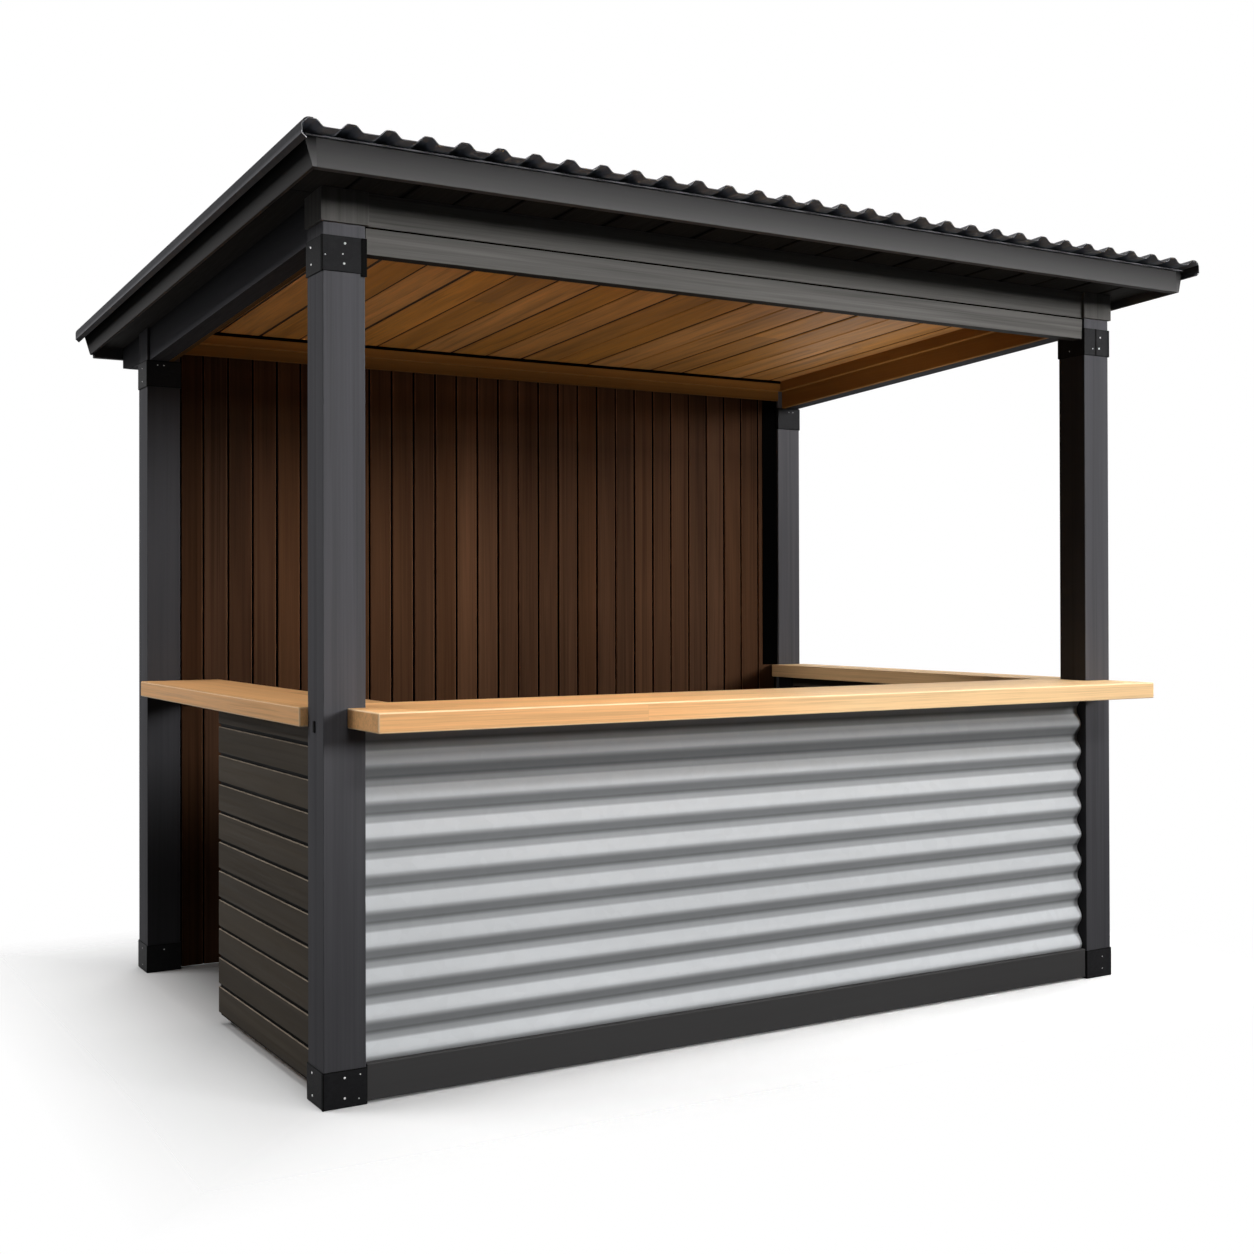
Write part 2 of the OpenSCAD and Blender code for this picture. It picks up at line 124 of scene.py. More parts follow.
class Tree:
    """The nodes of a material or a world, with short calls to add nodes and to join them."""

    def __init__(self, owner):
        owner.use_nodes = True
        self.nodes = owner.node_tree.nodes
        self.links = owner.node_tree.links

    def set(self, node, **inputs):
        """Join or set inputs, each by its name or, as i0, i1 and so on, by its number."""
        for key, value in inputs.items():
            socket = node.inputs[int(key[1:]) if key[1:].isdigit() else key.replace("_", " ")]
            if isinstance(value, bpy.types.NodeSocket):
                self.links.new(value, socket)
            else:
                socket.default_value = value
        return node

    def add(self, kind, props=None, **inputs):
        node = self.nodes.new("ShaderNode" + kind)
        for key, value in (props or {}).items():
            setattr(node, key, value)
        return self.set(node, **inputs)

    def math(self, operation, a, b=0.0, c=0.0):
        return self.add("Math", {"operation": operation}, i0=a, i1=b, i2=c).outputs[0]

    def vector(self, operation, a, b=(0, 0, 0)):
        return self.add("VectorMath", {"operation": operation}, i0=a, i1=b).outputs[0]

    def coords(self):
        return self.add("TexCoord").outputs["Object"]

    def along(self, way):
        """The place along a way."""
        node = self.add("VectorMath", {"operation": "DOT_PRODUCT"}, i0=self.coords(), i1=way)
        return node.outputs["Value"]

    def moved(self, shift, factor):
        """Coordinates moved by a share of a shift."""
        node = self.add("VectorMath", {"operation": "SCALE"}, i0=shift, Scale=factor)
        return self.vector("ADD", self.coords(), node.outputs[0])

    def attribute(self, name):
        return self.add("Attribute", {"attribute_name": name}).outputs["Fac"]

    def marks(self):
        """How far a face is marked as an edge, and how far as in a joint or painted with shade."""
        mark = self.attribute("edge")
        dark = self.math("MULTIPLY", mark, -1.0)
        return self.math("MAXIMUM", mark, 0.0), self.math("MAXIMUM", dark, 0.0)

    def seen(self):
        """1 for rays that show a surface itself: camera, glossy and transmission rays."""
        path = self.add("LightPath").outputs
        total = path["Is Camera Ray"]
        for ray in ("Is Glossy Ray", "Is Transmission Ray"):
            total = self.math("MAXIMUM", total, path[ray])
        return total

    def noise(self, vector, scale=1.0, detail=4.0, rough=0.55, distortion=0.0):
        node = self.add("TexNoise", Vector=vector, Scale=scale, Detail=detail, Roughness=rough,
                        Distortion=distortion)
        return node.outputs["Fac"]

    def remap(self, value, low, high, to_low=0.0, to_high=1.0):
        node = self.add("MapRange", i0=value, i1=low, i2=high, i3=to_low, i4=to_high)
        return node.outputs[0]

    def blend(self, a, b, share):
        """A share of one value and the rest of another."""
        rest = self.math("MULTIPLY", b, 1 - share)
        return self.math("ADD", self.math("MULTIPLY", a, share), rest)

    def mix(self, factor, a, b):
        node = self.add("Mix", {"data_type": "RGBA"}, i0=factor, i6=rgba(a), i7=rgba(b))
        return node.outputs[2]

    def tint(self, colour, value, saturation=1.0):
        node = self.add("HueSaturation", Saturation=saturation, Value=value, Color=colour)
        return node.outputs["Color"]

    def ramp(self, factor, stops):
        node = self.add("ValToRGB", i0=factor)
        ramp = node.color_ramp
        while len(ramp.elements) < len(stops):
            ramp.elements.new(0.5)
        for element, (place, colour) in zip(ramp.elements, stops):
            element.position = place
            element.color = rgba(colour)
        return node.outputs["Color"]

    def shaded(self, colour, shades):
        """Painted light and shade along ways: each way, two places on it, brightness at each."""
        for way, *span in shades:
            colour = self.tint(colour, self.remap(self.along(way), *span))
        return colour

    def bump(self, height, strength, distance):
        node = self.add("Bump", Strength=strength, Distance=distance, Height=height)
        return node.outputs["Normal"]

    def finish(self, colour, rough, normal, specular, metallic=0.0):
        self.set(self.nodes["Principled BSDF"], Base_Color=colour, Roughness=rough, Normal=normal,
                 Specular_IOR_Level=specular, Metallic=metallic)


# Kinds of material

# The part of a noise's range that is used
NOISE_SPAN = (0.3, 0.7)

# Timber: scales along the grain of fibres, figure and dark lines, and fibre's share of the relief
FIBRE_RUN, FIGURE_RUN, LINE_RUN = 2.2, 0.7, 0.35
FIBRE_SHARE = 0.4
# Dark lines: scale as a share of the fibre's, where in the noise they show, brightness
LINE_SCALE, LINE_SPAN, LINE_SHADE = 0.3, (0.56, 0.70), 0.4
# Each board shows another place of the grain, and draws its vividness from its tone
BOARD_SHIFT = (17.3, 9.1, 23.7)
TONE_TURNS = 7.3
# Light edges, worn and in part a painted highlight, come in patches: their scale, where in the
# noise they lie, least and most strength
WEAR_SCALE, WEAR_SPAN, WEAR_LEVELS = 23.0, (0.35, 0.65), (0.55, 1.0)
WOOD_RELIEF = 0.002


def wood(name, colour, along, contrast=0.15, spread=0.06, fibre=150, figure=14, streak=0.0,
         edge_wear_and_highlight=1.3, joint_and_shade=0.2, rough=(0.6, 0.8), bump=0.2, specular=0.05, shades=()):
    """Timber with its grain along an axis.

    contrast is the depth of the grain and spread that of the boards' tones. fibre and figure are
    scales across the grain. streak is the strength of dark lines. edge_wear_and_highlight is the
    brightness of edges, worn, and where it is strong a painted highlight. joint_and_shade is the
    brightness of joints and of faces painted with shade.
    """
    material = bpy.data.materials.new(name)
    tree = Tree(material)
    tone = tree.attribute("tone")
    place = tree.moved(BOARD_SHIFT, tone)

    def grain(fine, coarse, **kind):
        scale = stretched(fine, coarse, along)
        return tree.noise(tree.vector("MULTIPLY", place, scale), **kind)

    fine = grain(fibre, FIBRE_RUN, detail=5.0, rough=0.6)
    broad = grain(figure, FIGURE_RUN, detail=3.0, distortion=0.6)
    lines = grain(fibre * LINE_SCALE, LINE_RUN, detail=2.0, rough=0.5, distortion=0.3)
    height = tree.blend(fine, broad, FIBRE_SHARE)
    base = tree.ramp(tree.remap(height, *NOISE_SPAN), [
        (0.0, shade(colour, 1 - contrast)), (0.5, colour), (1.0, shade(colour, 1 + contrast))])
    dark_lines = tree.math("MULTIPLY", tree.remap(lines, *LINE_SPAN), streak)
    base = tree.mix(dark_lines, base, shade(colour, LINE_SHADE))
    value = tree.math("MULTIPLY_ADD", tone, 2 * spread, 1 - spread)
    other = tree.math("FRACT", tree.math("MULTIPLY", tone, TONE_TURNS))
    vivid = tree.math("MULTIPLY_ADD", other, spread / 2, 1 - spread / 4)
    base = tree.tint(base, value, vivid)
    # Light edges, worn and in part painted highlight; dark joints and faces painted with shade
    edge, joint_and_shade_mark = tree.marks()
    patches = tree.remap(tree.noise(tree.coords(), WEAR_SCALE), *WEAR_SPAN, *WEAR_LEVELS)
    base = tree.mix(tree.math("MULTIPLY", edge, patches), base, shade(colour, edge_wear_and_highlight))
    base = tree.mix(joint_and_shade_mark, base, shade(colour, joint_and_shade))
    tree.finish(tree.shaded(base, shades), tree.remap(fine, *NOISE_SPAN, *rough),
                tree.bump(height, bump, WOOD_RELIEF), specular)
    return material


# Counter staves: each shows another place of the grain, each row starts at another length
STAVE_W, STAVE_L = 0.062, 2.6
STAVE_SHIFT = (5.1, 7.7, 3.3)
STAVE_LAG = 7.0
# Scales across and along the grain, those of figure and pores as shares, fibre's share of relief
STAVE_FIBRE, STAVE_RUN = 190.0, 2.4
STAVE_FIGURE, STAVE_PORES, STAVE_FIBRE_SHARE = 0.22, 0.5, 0.65
# Brightness of the darkest and the lightest grain, and where the plain colour lies between them
STAVE_DARK, STAVE_LIGHT, STAVE_PLAIN = 0.70, 1.10, 0.55
# Pores and glue lines: where in the noise or how wide, how strong, brightness
PORE_SPAN, PORE_DEPTH, PORE_SHADE = (0.58, 0.72), 0.5, 0.6
GLUE, GLUE_DEPTH, GLUE_SHADE = 0.0004, 0.3, 0.5
# Painted highlight on the arrises and how strong it is, and the brightness of faces painted
# with shade
ARRIS_HIGHLIGHT, HIGHLIGHT_DEPTH, STAVE_SHADED = (1.0, 0.72, 0.44), 0.8, 0.4
STAVE_ROUGH, STAVE_SPECULAR = (0.42, 0.58), 0.12
STAVE_BUMP, STAVE_RELIEF = 0.12, 0.001
# Painted sheen on the counter wood, paler towards +x, and where it starts and is full along x
PAINTED_SHEEN = (0.88, 0.585, 0.30)
SHEEN_FROM, SHEEN_TO = -0.5, 0.15


def near_whole(tree, value, reach):
    """1 where the value lies within reach of a whole number."""
    off = tree.math("ABSOLUTE", tree.math("SUBTRACT", tree.math("FRACT", value), 0.5))
    return tree.math("GREATER_THAN", off, 0.5 - reach)


def staves(name, colour, along, vary=0.04):
    """Edge-glued counter wood: staves along an axis whose tone varies, with fine glue lines."""
    material = bpy.data.materials.new(name)
    tree = Tree(material)
    split = tree.add("SeparateXYZ", Vector=tree.coords()).outputs
    row = tree.math("DIVIDE", split[1 - AXIS[along]], STAVE_W)
    row_id = tree.math("FLOOR", row)
    lag = tree.add("TexWhiteNoise", {"noise_dimensions": "1D"}, W=row_id).outputs["Value"]
    piece = tree.math("ADD", tree.math("DIVIDE", split[AXIS[along]], STAVE_L),
                      tree.math("MULTIPLY", lag, STAVE_LAG))
    key = tree.add("CombineXYZ", X=row_id, Y=tree.math("FLOOR", piece)).outputs[0]
    tone = tree.add("TexWhiteNoise", {"noise_dimensions": "3D"}, Vector=key).outputs["Value"]
    place = tree.moved(STAVE_SHIFT, tone)

    def grain(share, **kind):
        scale = stretched(STAVE_FIBRE * share, STAVE_RUN * share, along)
        return tree.noise(tree.vector("MULTIPLY", place, scale), **kind)

    fine = grain(1.0, detail=5.0, rough=0.65)
    broad = grain(STAVE_FIGURE, detail=3.0, rough=0.5, distortion=0.8)
    pores = grain(STAVE_PORES, detail=2.0, rough=0.5)
    height = tree.blend(fine, broad, STAVE_FIBRE_SHARE)
    base = tree.ramp(tree.remap(height, *NOISE_SPAN), [
        (0.0, shade(colour, STAVE_DARK)), (STAVE_PLAIN, colour),
        (1.0, shade(colour, STAVE_LIGHT))])
    dark_pores = tree.remap(pores, *PORE_SPAN, 0.0, PORE_DEPTH)
    base = tree.mix(dark_pores, base, shade(colour, PORE_SHADE))
    # Painted sheen: paler towards +x
    sheened = tree.vector("MULTIPLY", base, tuple(p / c for p, c in zip(PAINTED_SHEEN, colour)))
    base = tree.mix(tree.remap(split["X"], SHEEN_FROM, SHEEN_TO), base, sheened)
    base = tree.tint(base, tree.math("MULTIPLY_ADD", tone, 2 * vary, 1 - vary))
    seam = tree.math("MAXIMUM", near_whole(tree, row, GLUE / STAVE_W),
                     near_whole(tree, piece, GLUE / STAVE_L))
    base = tree.mix(tree.math("MULTIPLY", seam, GLUE_DEPTH), base, shade(colour, GLUE_SHADE))
    edge, dark = tree.marks()
    # Painted highlight on the arrises, then painted shade on marked faces
    base = tree.mix(tree.math("MULTIPLY", edge, HIGHLIGHT_DEPTH), base, ARRIS_HIGHLIGHT)
    base = tree.mix(dark, base, shade(colour, STAVE_SHADED))
    tree.finish(base, tree.remap(fine, *NOISE_SPAN, *STAVE_ROUGH),
                tree.bump(height, STAVE_BUMP, STAVE_RELIEF), STAVE_SPECULAR)
    return material


# Metal: share of the spangle's cells and scale of its clouds, scratches across and along
CELL_SHARE, CLOUD_SCALE, MOTTLE_SPAN = 0.35, 0.12, (0.25, 0.75)
SCRATCH, SCRATCH_RUN = 260.0, 2.0
METAL_RELIEF = 0.001
# Brightness of an edge that has no colour of its own
METAL_EDGE = 1.3
# Painted shade on faces that look down: slopes at which it starts and is full, and the
# brightness there
DOWN_SHADE_FROM, DOWN_SHADE_TO, DOWN_SHADE_LEVEL = 0.02, -0.48, 0.2


def metal(name, colour, metallic=0.0, rough=(0.4, 0.55), mottle=0.1, scale=40.0,
          edge_colour=None, under_colour=None, specular=0.06, brushed=None, bump=0.03, down_shade=0.0,
          shades=()):
    """Sheet or plate metal with a mottled finish, faint scratches, coloured edges and underside.

    mottle is the depth of the finish and scale its fineness. brushed is the axis of the
    scratches. down_shade is how much shade is painted on the faces that look down.
    """
    material = bpy.data.materials.new(name)
    tree = Tree(material)
    cells = tree.add("TexVoronoi", Vector=tree.coords(), Scale=scale).outputs["Color"]
    cell = tree.add("SeparateColor", i0=cells).outputs[0]
    cloud = tree.noise(tree.coords(), scale * CLOUD_SCALE)
    base = tree.ramp(tree.remap(tree.blend(cell, cloud, CELL_SHARE), *MOTTLE_SPAN), [
        (0.0, shade(colour, 1 - mottle)), (1.0, shade(colour, 1 + mottle))])
    strokes = stretched(SCRATCH, SCRATCH_RUN, brushed)
    scratch = tree.noise(tree.vector("MULTIPLY", tree.coords(), strokes), detail=3.0)
    edge, under = tree.marks()
    base = tree.mix(edge, base, edge_colour or shade(colour, METAL_EDGE))
    base = tree.mix(under, base, under_colour or colour)
    # Painted shade on the faces that look down
    if down_shade:
        normal = tree.add("NewGeometry").outputs["Normal"]
        slope = tree.add("SeparateXYZ", Vector=normal).outputs["Z"]
        down_shaded = tree.remap(slope, DOWN_SHADE_FROM, DOWN_SHADE_TO, 0.0, down_shade)
        base = tree.mix(down_shaded, base, shade(colour, DOWN_SHADE_LEVEL))
    tree.finish(tree.shaded(base, shades), tree.remap(scratch, *NOISE_SPAN, *rough),
                tree.bump(tree.math("ADD", scratch, cloud), bump, METAL_RELIEF),
                specular, metallic)
    return material


# Materials of the part

CHARCOAL = (0.079, 0.078, 0.085)
FRONT_CHARCOAL = (0.100, 0.096, 0.091)
FASCIA = (0.071, 0.0695, 0.0695)
HONEY = (0.90, 0.485, 0.205)
CEILING = (0.57, 0.268, 0.070)
# The soffits are painted dark, and this is darker than the charcoal: painted shade under eaves
SOFFIT = (0.013, 0.012, 0.011)
WALNUT = (0.068, 0.0325, 0.0167)
PANEL = (0.057, 0.047, 0.036)
ZINC, ZINC_EDGE = (0.68, 0.70, 0.72), (0.75, 0.76, 0.77)
ROOF, ROOF_EDGE, ROOF_UNDER = (0.052, 0.052, 0.055), (0.13, 0.13, 0.135), (0.32, 0.35, 0.41)
TRIM_EDGE = (0.22, 0.22, 0.225)
PLATE, PLATE_EDGE = (0.013, 0.013, 0.014), (0.003, 0.003, 0.003)
BLACK, BLACK_EDGE = (0.0035, 0.0035, 0.0035), (0.004, 0.004, 0.004)
BRIGHT = (0.62, 0.62, 0.62)

BAR_TOP = span_of("front_sheet", UP)[1]
BAR_FRONT, BAR_BACK = span_of("front_sheet", BACKWARD)
# Depth at which the hollows of the bar sheet's waves start, as a share and as a place
HOLLOW_SHARE = 0.75
BAR_HOLLOW = BAR_FRONT + HOLLOW_SHARE * (BAR_BACK - BAR_FRONT)

# Shade that the photograph's light leaves, by place: a way, two places on it, the brightness
# at each
SHADES = {
    "post": [(UP, 0.3, 1.15, 0.75, 1.0)],
    "fascia_x": [(UP, *span_of("fascia_front", UP), 1.3, 0.45)],
    "fascia_y": [(OFF_ROOF, *span_of("fascia_left", OFF_ROOF), 1.9, 0.04)],
    "beam_y": [(OFF_ROOF, *span_of("side_beam_left", OFF_ROOF), 1.7, 0.04)],
    "ceiling": [(ACROSS, -1.4, -0.2, 1.3, 0.93), (ACROSS, 0.4, 1.2, 1.0, 1.12)],
    "trim_x": [(UP, *span_of("back_trim", UP), 0.5, 1.25)],
    "wall": [(UP, 1.35, 2.25, 1.05, 0.50), (UP, 2.0, 2.2, 1.0, 2.0),
             (ACROSS, -1.42, -0.2, 0.5, 1.0),
             ((ACROSS + UP).normalized(), 2.1, 2.45, 1.0, 0.4)],
    "bar": [(UP, BAR_TOP - 0.26, BAR_TOP - 0.08, 1.0, 0.45),
            (UP, BAR_TOP - 0.08, BAR_TOP - 0.01, 1.0, 2.4),
            (ACROSS, 0.0, 1.2, 1.0, 1.1),
            (BACKWARD, BAR_HOLLOW - 0.002, BAR_HOLLOW + 0.001, 1.0, 0.55)],
    "trim": [(OFF_ROOF, TRIM_HIGH - 0.022, TRIM_HIGH - 0.002, 0.8, 0.15),
             (OFF_ROOF, TRIM_HIGH - 0.044, TRIM_HIGH - 0.032, 2.4, 1.0)],
}

# Looks that several materials share
MATT = (0.8, 0.95)
FASCIA_LOOK = {"contrast": 0.08, "spread": 0.05, "fibre": 140, "figure": 9, "bump": 0.1}
COAT = {"rough": (0.45, 0.6), "mottle": 0.08, "scale": 90.0}
BLACK_COAT = {"mottle": 0.2, "scale": 200.0}

MATS = {
    "post": wood("charcoal_upright", CHARCOAL, "z", contrast=0.22, spread=0.12, fibre=170,
                 figure=22, streak=0.3, edge_wear_and_highlight=1.2, shades=SHADES["post"]),
    "block": wood("charcoal_block", shade(FRONT_CHARCOAL, 0.95), "z", contrast=0.2, fibre=170,
                  figure=60, streak=0.5),
    "beam_x": wood("charcoal_across", FRONT_CHARCOAL, "x", contrast=0.4, spread=0.08, fibre=190,
                   figure=26, streak=0.5),
    "beam_y": wood("charcoal_along", CHARCOAL, "y", contrast=0.2, spread=0.08, specular=0.02,
                   shades=SHADES["beam_y"]),
    "fascia_x": wood("charcoal_fascia", FASCIA, "x", **FASCIA_LOOK, shades=SHADES["fascia_x"]),
    "fascia_y": wood("charcoal_side_fascia", FASCIA, "y", **FASCIA_LOOK, specular=0.0,
                     shades=SHADES["fascia_y"]),
    # The kick board is the fascia's colour made darker: painted shade at the foot
    "skirt": wood("charcoal_kick_board", shade(FASCIA, 0.75), "x", **FASCIA_LOOK),
    "ceiling": wood("ceiling_boards", CEILING, "y", contrast=0.38, spread=0.20, fibre=140,
                    figure=16, streak=0.5, edge_wear_and_highlight=1.1, joint_and_shade=0.04, rough=(0.5, 0.7),
                    specular=0.5, shades=SHADES["ceiling"]),
    # The linings and the back trim are the ceiling's colour at half: painted shade
    "lining": wood("ceiling_trim_along", shade(CEILING, 0.5), "y", contrast=0.2, spread=0.1,
                   fibre=140, figure=11),
    "trim_x": wood("ceiling_trim_across", shade(CEILING, 0.5), "x", contrast=0.25, spread=0.1,
                   fibre=140, figure=16, streak=0.3, shades=SHADES["trim_x"]),
    "soffit": wood("soffit_boards", SOFFIT, "y", contrast=0.2, spread=0.2, fibre=140, figure=11,
                   streak=0.2, specular=0.02),
    # Strong edge wear on the wall and the panel boards is a painted highlight on their arrises
    "wall": wood("walnut_boards", WALNUT, "z", contrast=0.38, spread=0.18, streak=0.6, edge_wear_and_highlight=3.0,
                 joint_and_shade=0.02, specular=0.01, shades=SHADES["wall"]),
    "panel": wood("panel_boards", PANEL, "y", contrast=0.38, spread=0.12, streak=0.35, edge_wear_and_highlight=5.0,
                  joint_and_shade=0.04),
    "stud": wood("panel_stud", PANEL, "z", contrast=0.2, spread=0.1),
    "rail": wood("panel_rail", PANEL, "x", contrast=0.2, spread=0.1),
    "counter_x": staves("honey_staves_across", HONEY, "x"),
    "counter_y": staves("honey_staves_along", HONEY, "y", vary=0.15),
    "galvanised": metal("galvanised_sheet", ZINC, rough=(0.4, 0.5), mottle=0.03, scale=30.0,
                        edge_colour=ZINC_EDGE, specular=0.1, brushed="x", bump=0.02, down_shade=0.72,
                        shades=SHADES["bar"]),
    "roof": metal("roof_sheet_coat", ROOF, **COAT, edge_colour=ROOF_EDGE,
                  under_colour=ROOF_UNDER, brushed="y"),
    # Drip edge, trims and roof screws: the roof's colour made lighter, painted light
    "drip": metal("drip_edge_coat", shade(ROOF, 1.6), **COAT, edge_colour=ROOF, brushed="x"),
    "trim": metal("roof_trim_coat", shade(ROOF, 2.2), rough=MATT, mottle=0.08, scale=90.0,
                  specular=0.01, edge_colour=TRIM_EDGE, brushed="y", shades=SHADES["trim"]),
    "steel": metal("black_plate", PLATE, mottle=0.15, scale=120.0, edge_colour=PLATE_EDGE,
                   specular=0.03),
    "screw": metal("bright_screws", BRIGHT, metallic=0.8, rough=(0.25, 0.4), mottle=0.06,
                   scale=300.0),
    # Black that paints in shadow lines
    "painted_shadow": metal("painted_shadow_black", shade(BLACK, 0.3), **BLACK_COAT, rough=MATT, specular=0.0),
    "dark": metal("black_fittings", BLACK, **BLACK_COAT, edge_colour=BLACK_EDGE, specular=0.01),
}


# Meshes

# Points nearer than this are one, and faces flatter than this are one
MERGE, FLAT = 1e-5, math.radians(1)
# An edge that turns more than this is sharp
SHARP = math.radians(25)
# Least cosine between a dark face's normal and the way it looks, and of an edge along an axis
FACING, RUNNING = 0.6, 0.9
# Outline of a screw head with its sunk drive: shares of its radius and height
SCREW_HEAD = [(1.0, 0.0), (0.97, 0.35), (0.80, 0.75), (0.50, 0.97), (0.32, 1.0), (0.26, 0.62)]


class Piece:
    """A mesh in the making: each vertex has its board's tone, each face says if it is an edge."""

    def __init__(self):
        self.bm = bmesh.new()
        self.tone = self.bm.verts.layers.float.new("tone")
        # Face mark: above 0 an edge, below 0 a face in a joint or one painted with shade
        self.edge = self.bm.faces.layers.float.new("edge")

    def verts(self, points, tone=0.5):
        made = [self.bm.verts.new(p) for p in points]
        for v in made:
            v[self.tone] = tone
        return made

    def face(self, verts, edge=0.0, smooth=False):
        face = self.bm.faces.new(verts)
        face[self.edge] = edge
        face.smooth = smooth

    def loft(self, rings, tone=0.5, marks=None, smooth=False):
        """Closed solid through rings of points. marks has a row of edge marks for each band."""
        made = [self.verts(ring, tone) for ring in rings]
        for k, (a, b) in enumerate(zip(made, made[1:])):
            for i in range(len(a)):
                j = (i + 1) % len(a)
                self.face([a[i], a[j], b[j], b[i]], marks[k][i] if marks else 0.0, smooth)
        self.face(made[0][::-1])
        self.face(made[-1])

    def box(self, low, high, ease):
        """Box with eased upper and lower edges."""
        (x0, y0, z0), (x1, y1, z1) = low, high

        def level(z, inset):
            left, right, front, back = x0 + inset, x1 - inset, y0 + inset, y1 - inset
            return [(left, front, z), (right, front, z), (right, back, z), (left, back, z)]

        rings = [level(z0, ease), level(z0 + ease, 0), level(z1 - ease, 0), level(z1, ease)]
        self.loft(rings, marks=[[1.0] * 4, [0.0] * 4, [1.0] * 4])

    def dome(self, centre, normal, radius, height, sides=12):
        """Screw head: a low dome with a sunk drive in its middle."""
        turn = normal.to_track_quat("Z", "Y").to_matrix()
        turns = [2 * math.pi * i / sides for i in range(sides)]
        circle = [radius * Vector((math.cos(a), math.sin(a), 0)) for a in turns]
        self.loft([[centre + turn @ (share * p + rise * height * UP) for p in circle]
                   for share, rise in SCREW_HEAD], smooth=True)

    def node(self, name, ease, segments=2, tone=0.5, along=None, dark=None):
        """The solid of a CAD node with its sharp edges eased, or only those along an axis.

        dark gives the way that faces painted with shade look and how dark the shade is.
        """
        bm = self.bm
        bm.from_mesh(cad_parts[name].data)
        bmesh.ops.remove_doubles(bm, verts=bm.verts, dist=MERGE)
        bmesh.ops.dissolve_limit(bm, angle_limit=FLAT, verts=bm.verts, edges=bm.edges)
        sharp = [e for e in bm.edges if e.calc_face_angle(0.0) > SHARP]
        if along:
            sharp = [e for e in sharp if runs_along(e, AXIS[along])]
        cut = bmesh.ops.bevel(bm, geom=sharp, offset=ease, segments=segments, profile=0.5,
                              affect="EDGES", clamp_overlap=True)
        for f in bm.faces:
            f.smooth = False
        for f in cut["faces"]:
            f[self.edge] = 1.0
        # Faces that look the way of dark are painted with shade
        for f in bm.faces:
            if dark and f.normal.dot(dark[0]) > FACING:
                f[self.edge] = -dark[1]
        for v in bm.verts:
            v[self.tone] = tone

    def done(self, name, material, *nodes):
        """Make the piece, in place of CAD nodes if any are named."""
        bmesh.ops.recalc_face_normals(self.bm, faces=self.bm.faces)
        mesh = bpy.data.meshes.new(name)
        self.bm.to_mesh(mesh)
        self.bm.free()
        mesh.materials.clear()
        mesh.materials.append(MATS[material])
        piece = bpy.data.objects.new(name, mesh)
        bpy.context.scene.collection.objects.link(piece)
        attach(piece, "root")
        if nodes:
            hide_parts(*nodes)


def runs_along(edge, axis):
    a, b = (v.co for v in edge.verts)
    return abs((b - a).normalized()[axis]) > RUNNING


# Posts, beams and trim

EASE, POST_EASE, FASCIA_EASE, DRIP_EASE = 0.002, 0.003, 0.0015, 0.001
# COUNTER_SHADE: painted shade on the left counter's top and the right counter's inner edge
COUNTER_EASE, COUNTER_SEGMENTS, COUNTER_SHADE = 0.004, 3, 0.45
# A little less than the steel plate's thickness
STEEL_EASE = 0.0029
# UNDERSIDE: undersides painted dark, painted shade
UNDERSIDE = (-UP, 1.0)
# Tone of each post, and its face that is painted with shade. The back-left post's low tone is
# in part painted shade
POSTS = {"front_left": (0.7, None), "front_right": (0.6, (-ACROSS, 0.7)),
         "back_left": (0.0, (-BACKWARD, 0.6)), "back_right": (0.5, None)}


def eased(node, material, ease=EASE, segments=2, tone=0.5, along=None, dark=None):
    """A CAD node with eased edges, in its own place."""
    piece = Piece()
    piece.node(node, ease, segments, tone, along, dark)
    piece.done("fine_" + node, material, node)


# dark paints shade on a node's faces that look its way
for corner, (tone, dark) in POSTS.items():
    eased("post_" + corner, "post", POST_EASE, tone=tone, dark=dark)
    eased("base_shoe_" + corner, "steel", STEEL_EASE)
    eased("top_sleeve_" + corner, "steel", STEEL_EASE)
eased("post_blocks", "block")
eased("front_beam", "beam_x", tone=0.8, dark=UNDERSIDE)
eased("front_frieze", "beam_x", tone=0.2)
eased("side_beam_left", "beam_y", dark=UNDERSIDE)
eased("side_beam_right", "beam_y", dark=UNDERSIDE)
eased("back_beam", "beam_x")
eased("rafter_tails", "beam_y")
eased("fascia_front", "fascia_x", along="x")
eased("fascia_back", "fascia_x", along="x")
eased("fascia_left", "fascia_y", FASCIA_EASE, along="y")
eased("fascia_right", "fascia_y", FASCIA_EASE, along="y")
eased("front_skirt", "skirt", POST_EASE)
eased("front_rail", "rail")
eased("left_panel_stud", "stud")
eased("back_trim", "trim_x")
eased("side_lining_left", "lining", dark=UNDERSIDE)
eased("side_lining_right", "lining")
eased("counter_front", "counter_x", COUNTER_EASE, COUNTER_SEGMENTS)
eased("counter_left", "counter_y", COUNTER_EASE, COUNTER_SEGMENTS, dark=(UP, COUNTER_SHADE))
eased("counter_right", "counter_y", COUNTER_EASE, COUNTER_SEGMENTS,
      dark=(-ACROSS, COUNTER_SHADE))
eased("front_drip_edge", "drip", DRIP_EASE)


# Boards

# Faces round a board's outline: 1 is an arris, worn, and on the wall boards a painted
# highlight; -1 lies in the joint
BOARD_EDGES = (0, 1, -1, 1, 0, 1, -1, -1, -1, -1, -1, 1)
# Panel boards: upper arrises are a painted highlight, lower ones painted as dark as the joint
PANEL_EDGES = (0, 1, -1, 1, 0, -1, -1, -1, -1, -1, -1, -1)
# Depth of a joint as a share of the board, and the share of a board that is too narrow to lay
JOINT_DEPTH, SLIVER = 0.35, 0.05
# Where a butt joint may lie along a board, and half its width
BUTT_SPAN, BUTT = (0.3, 0.7), 0.0005


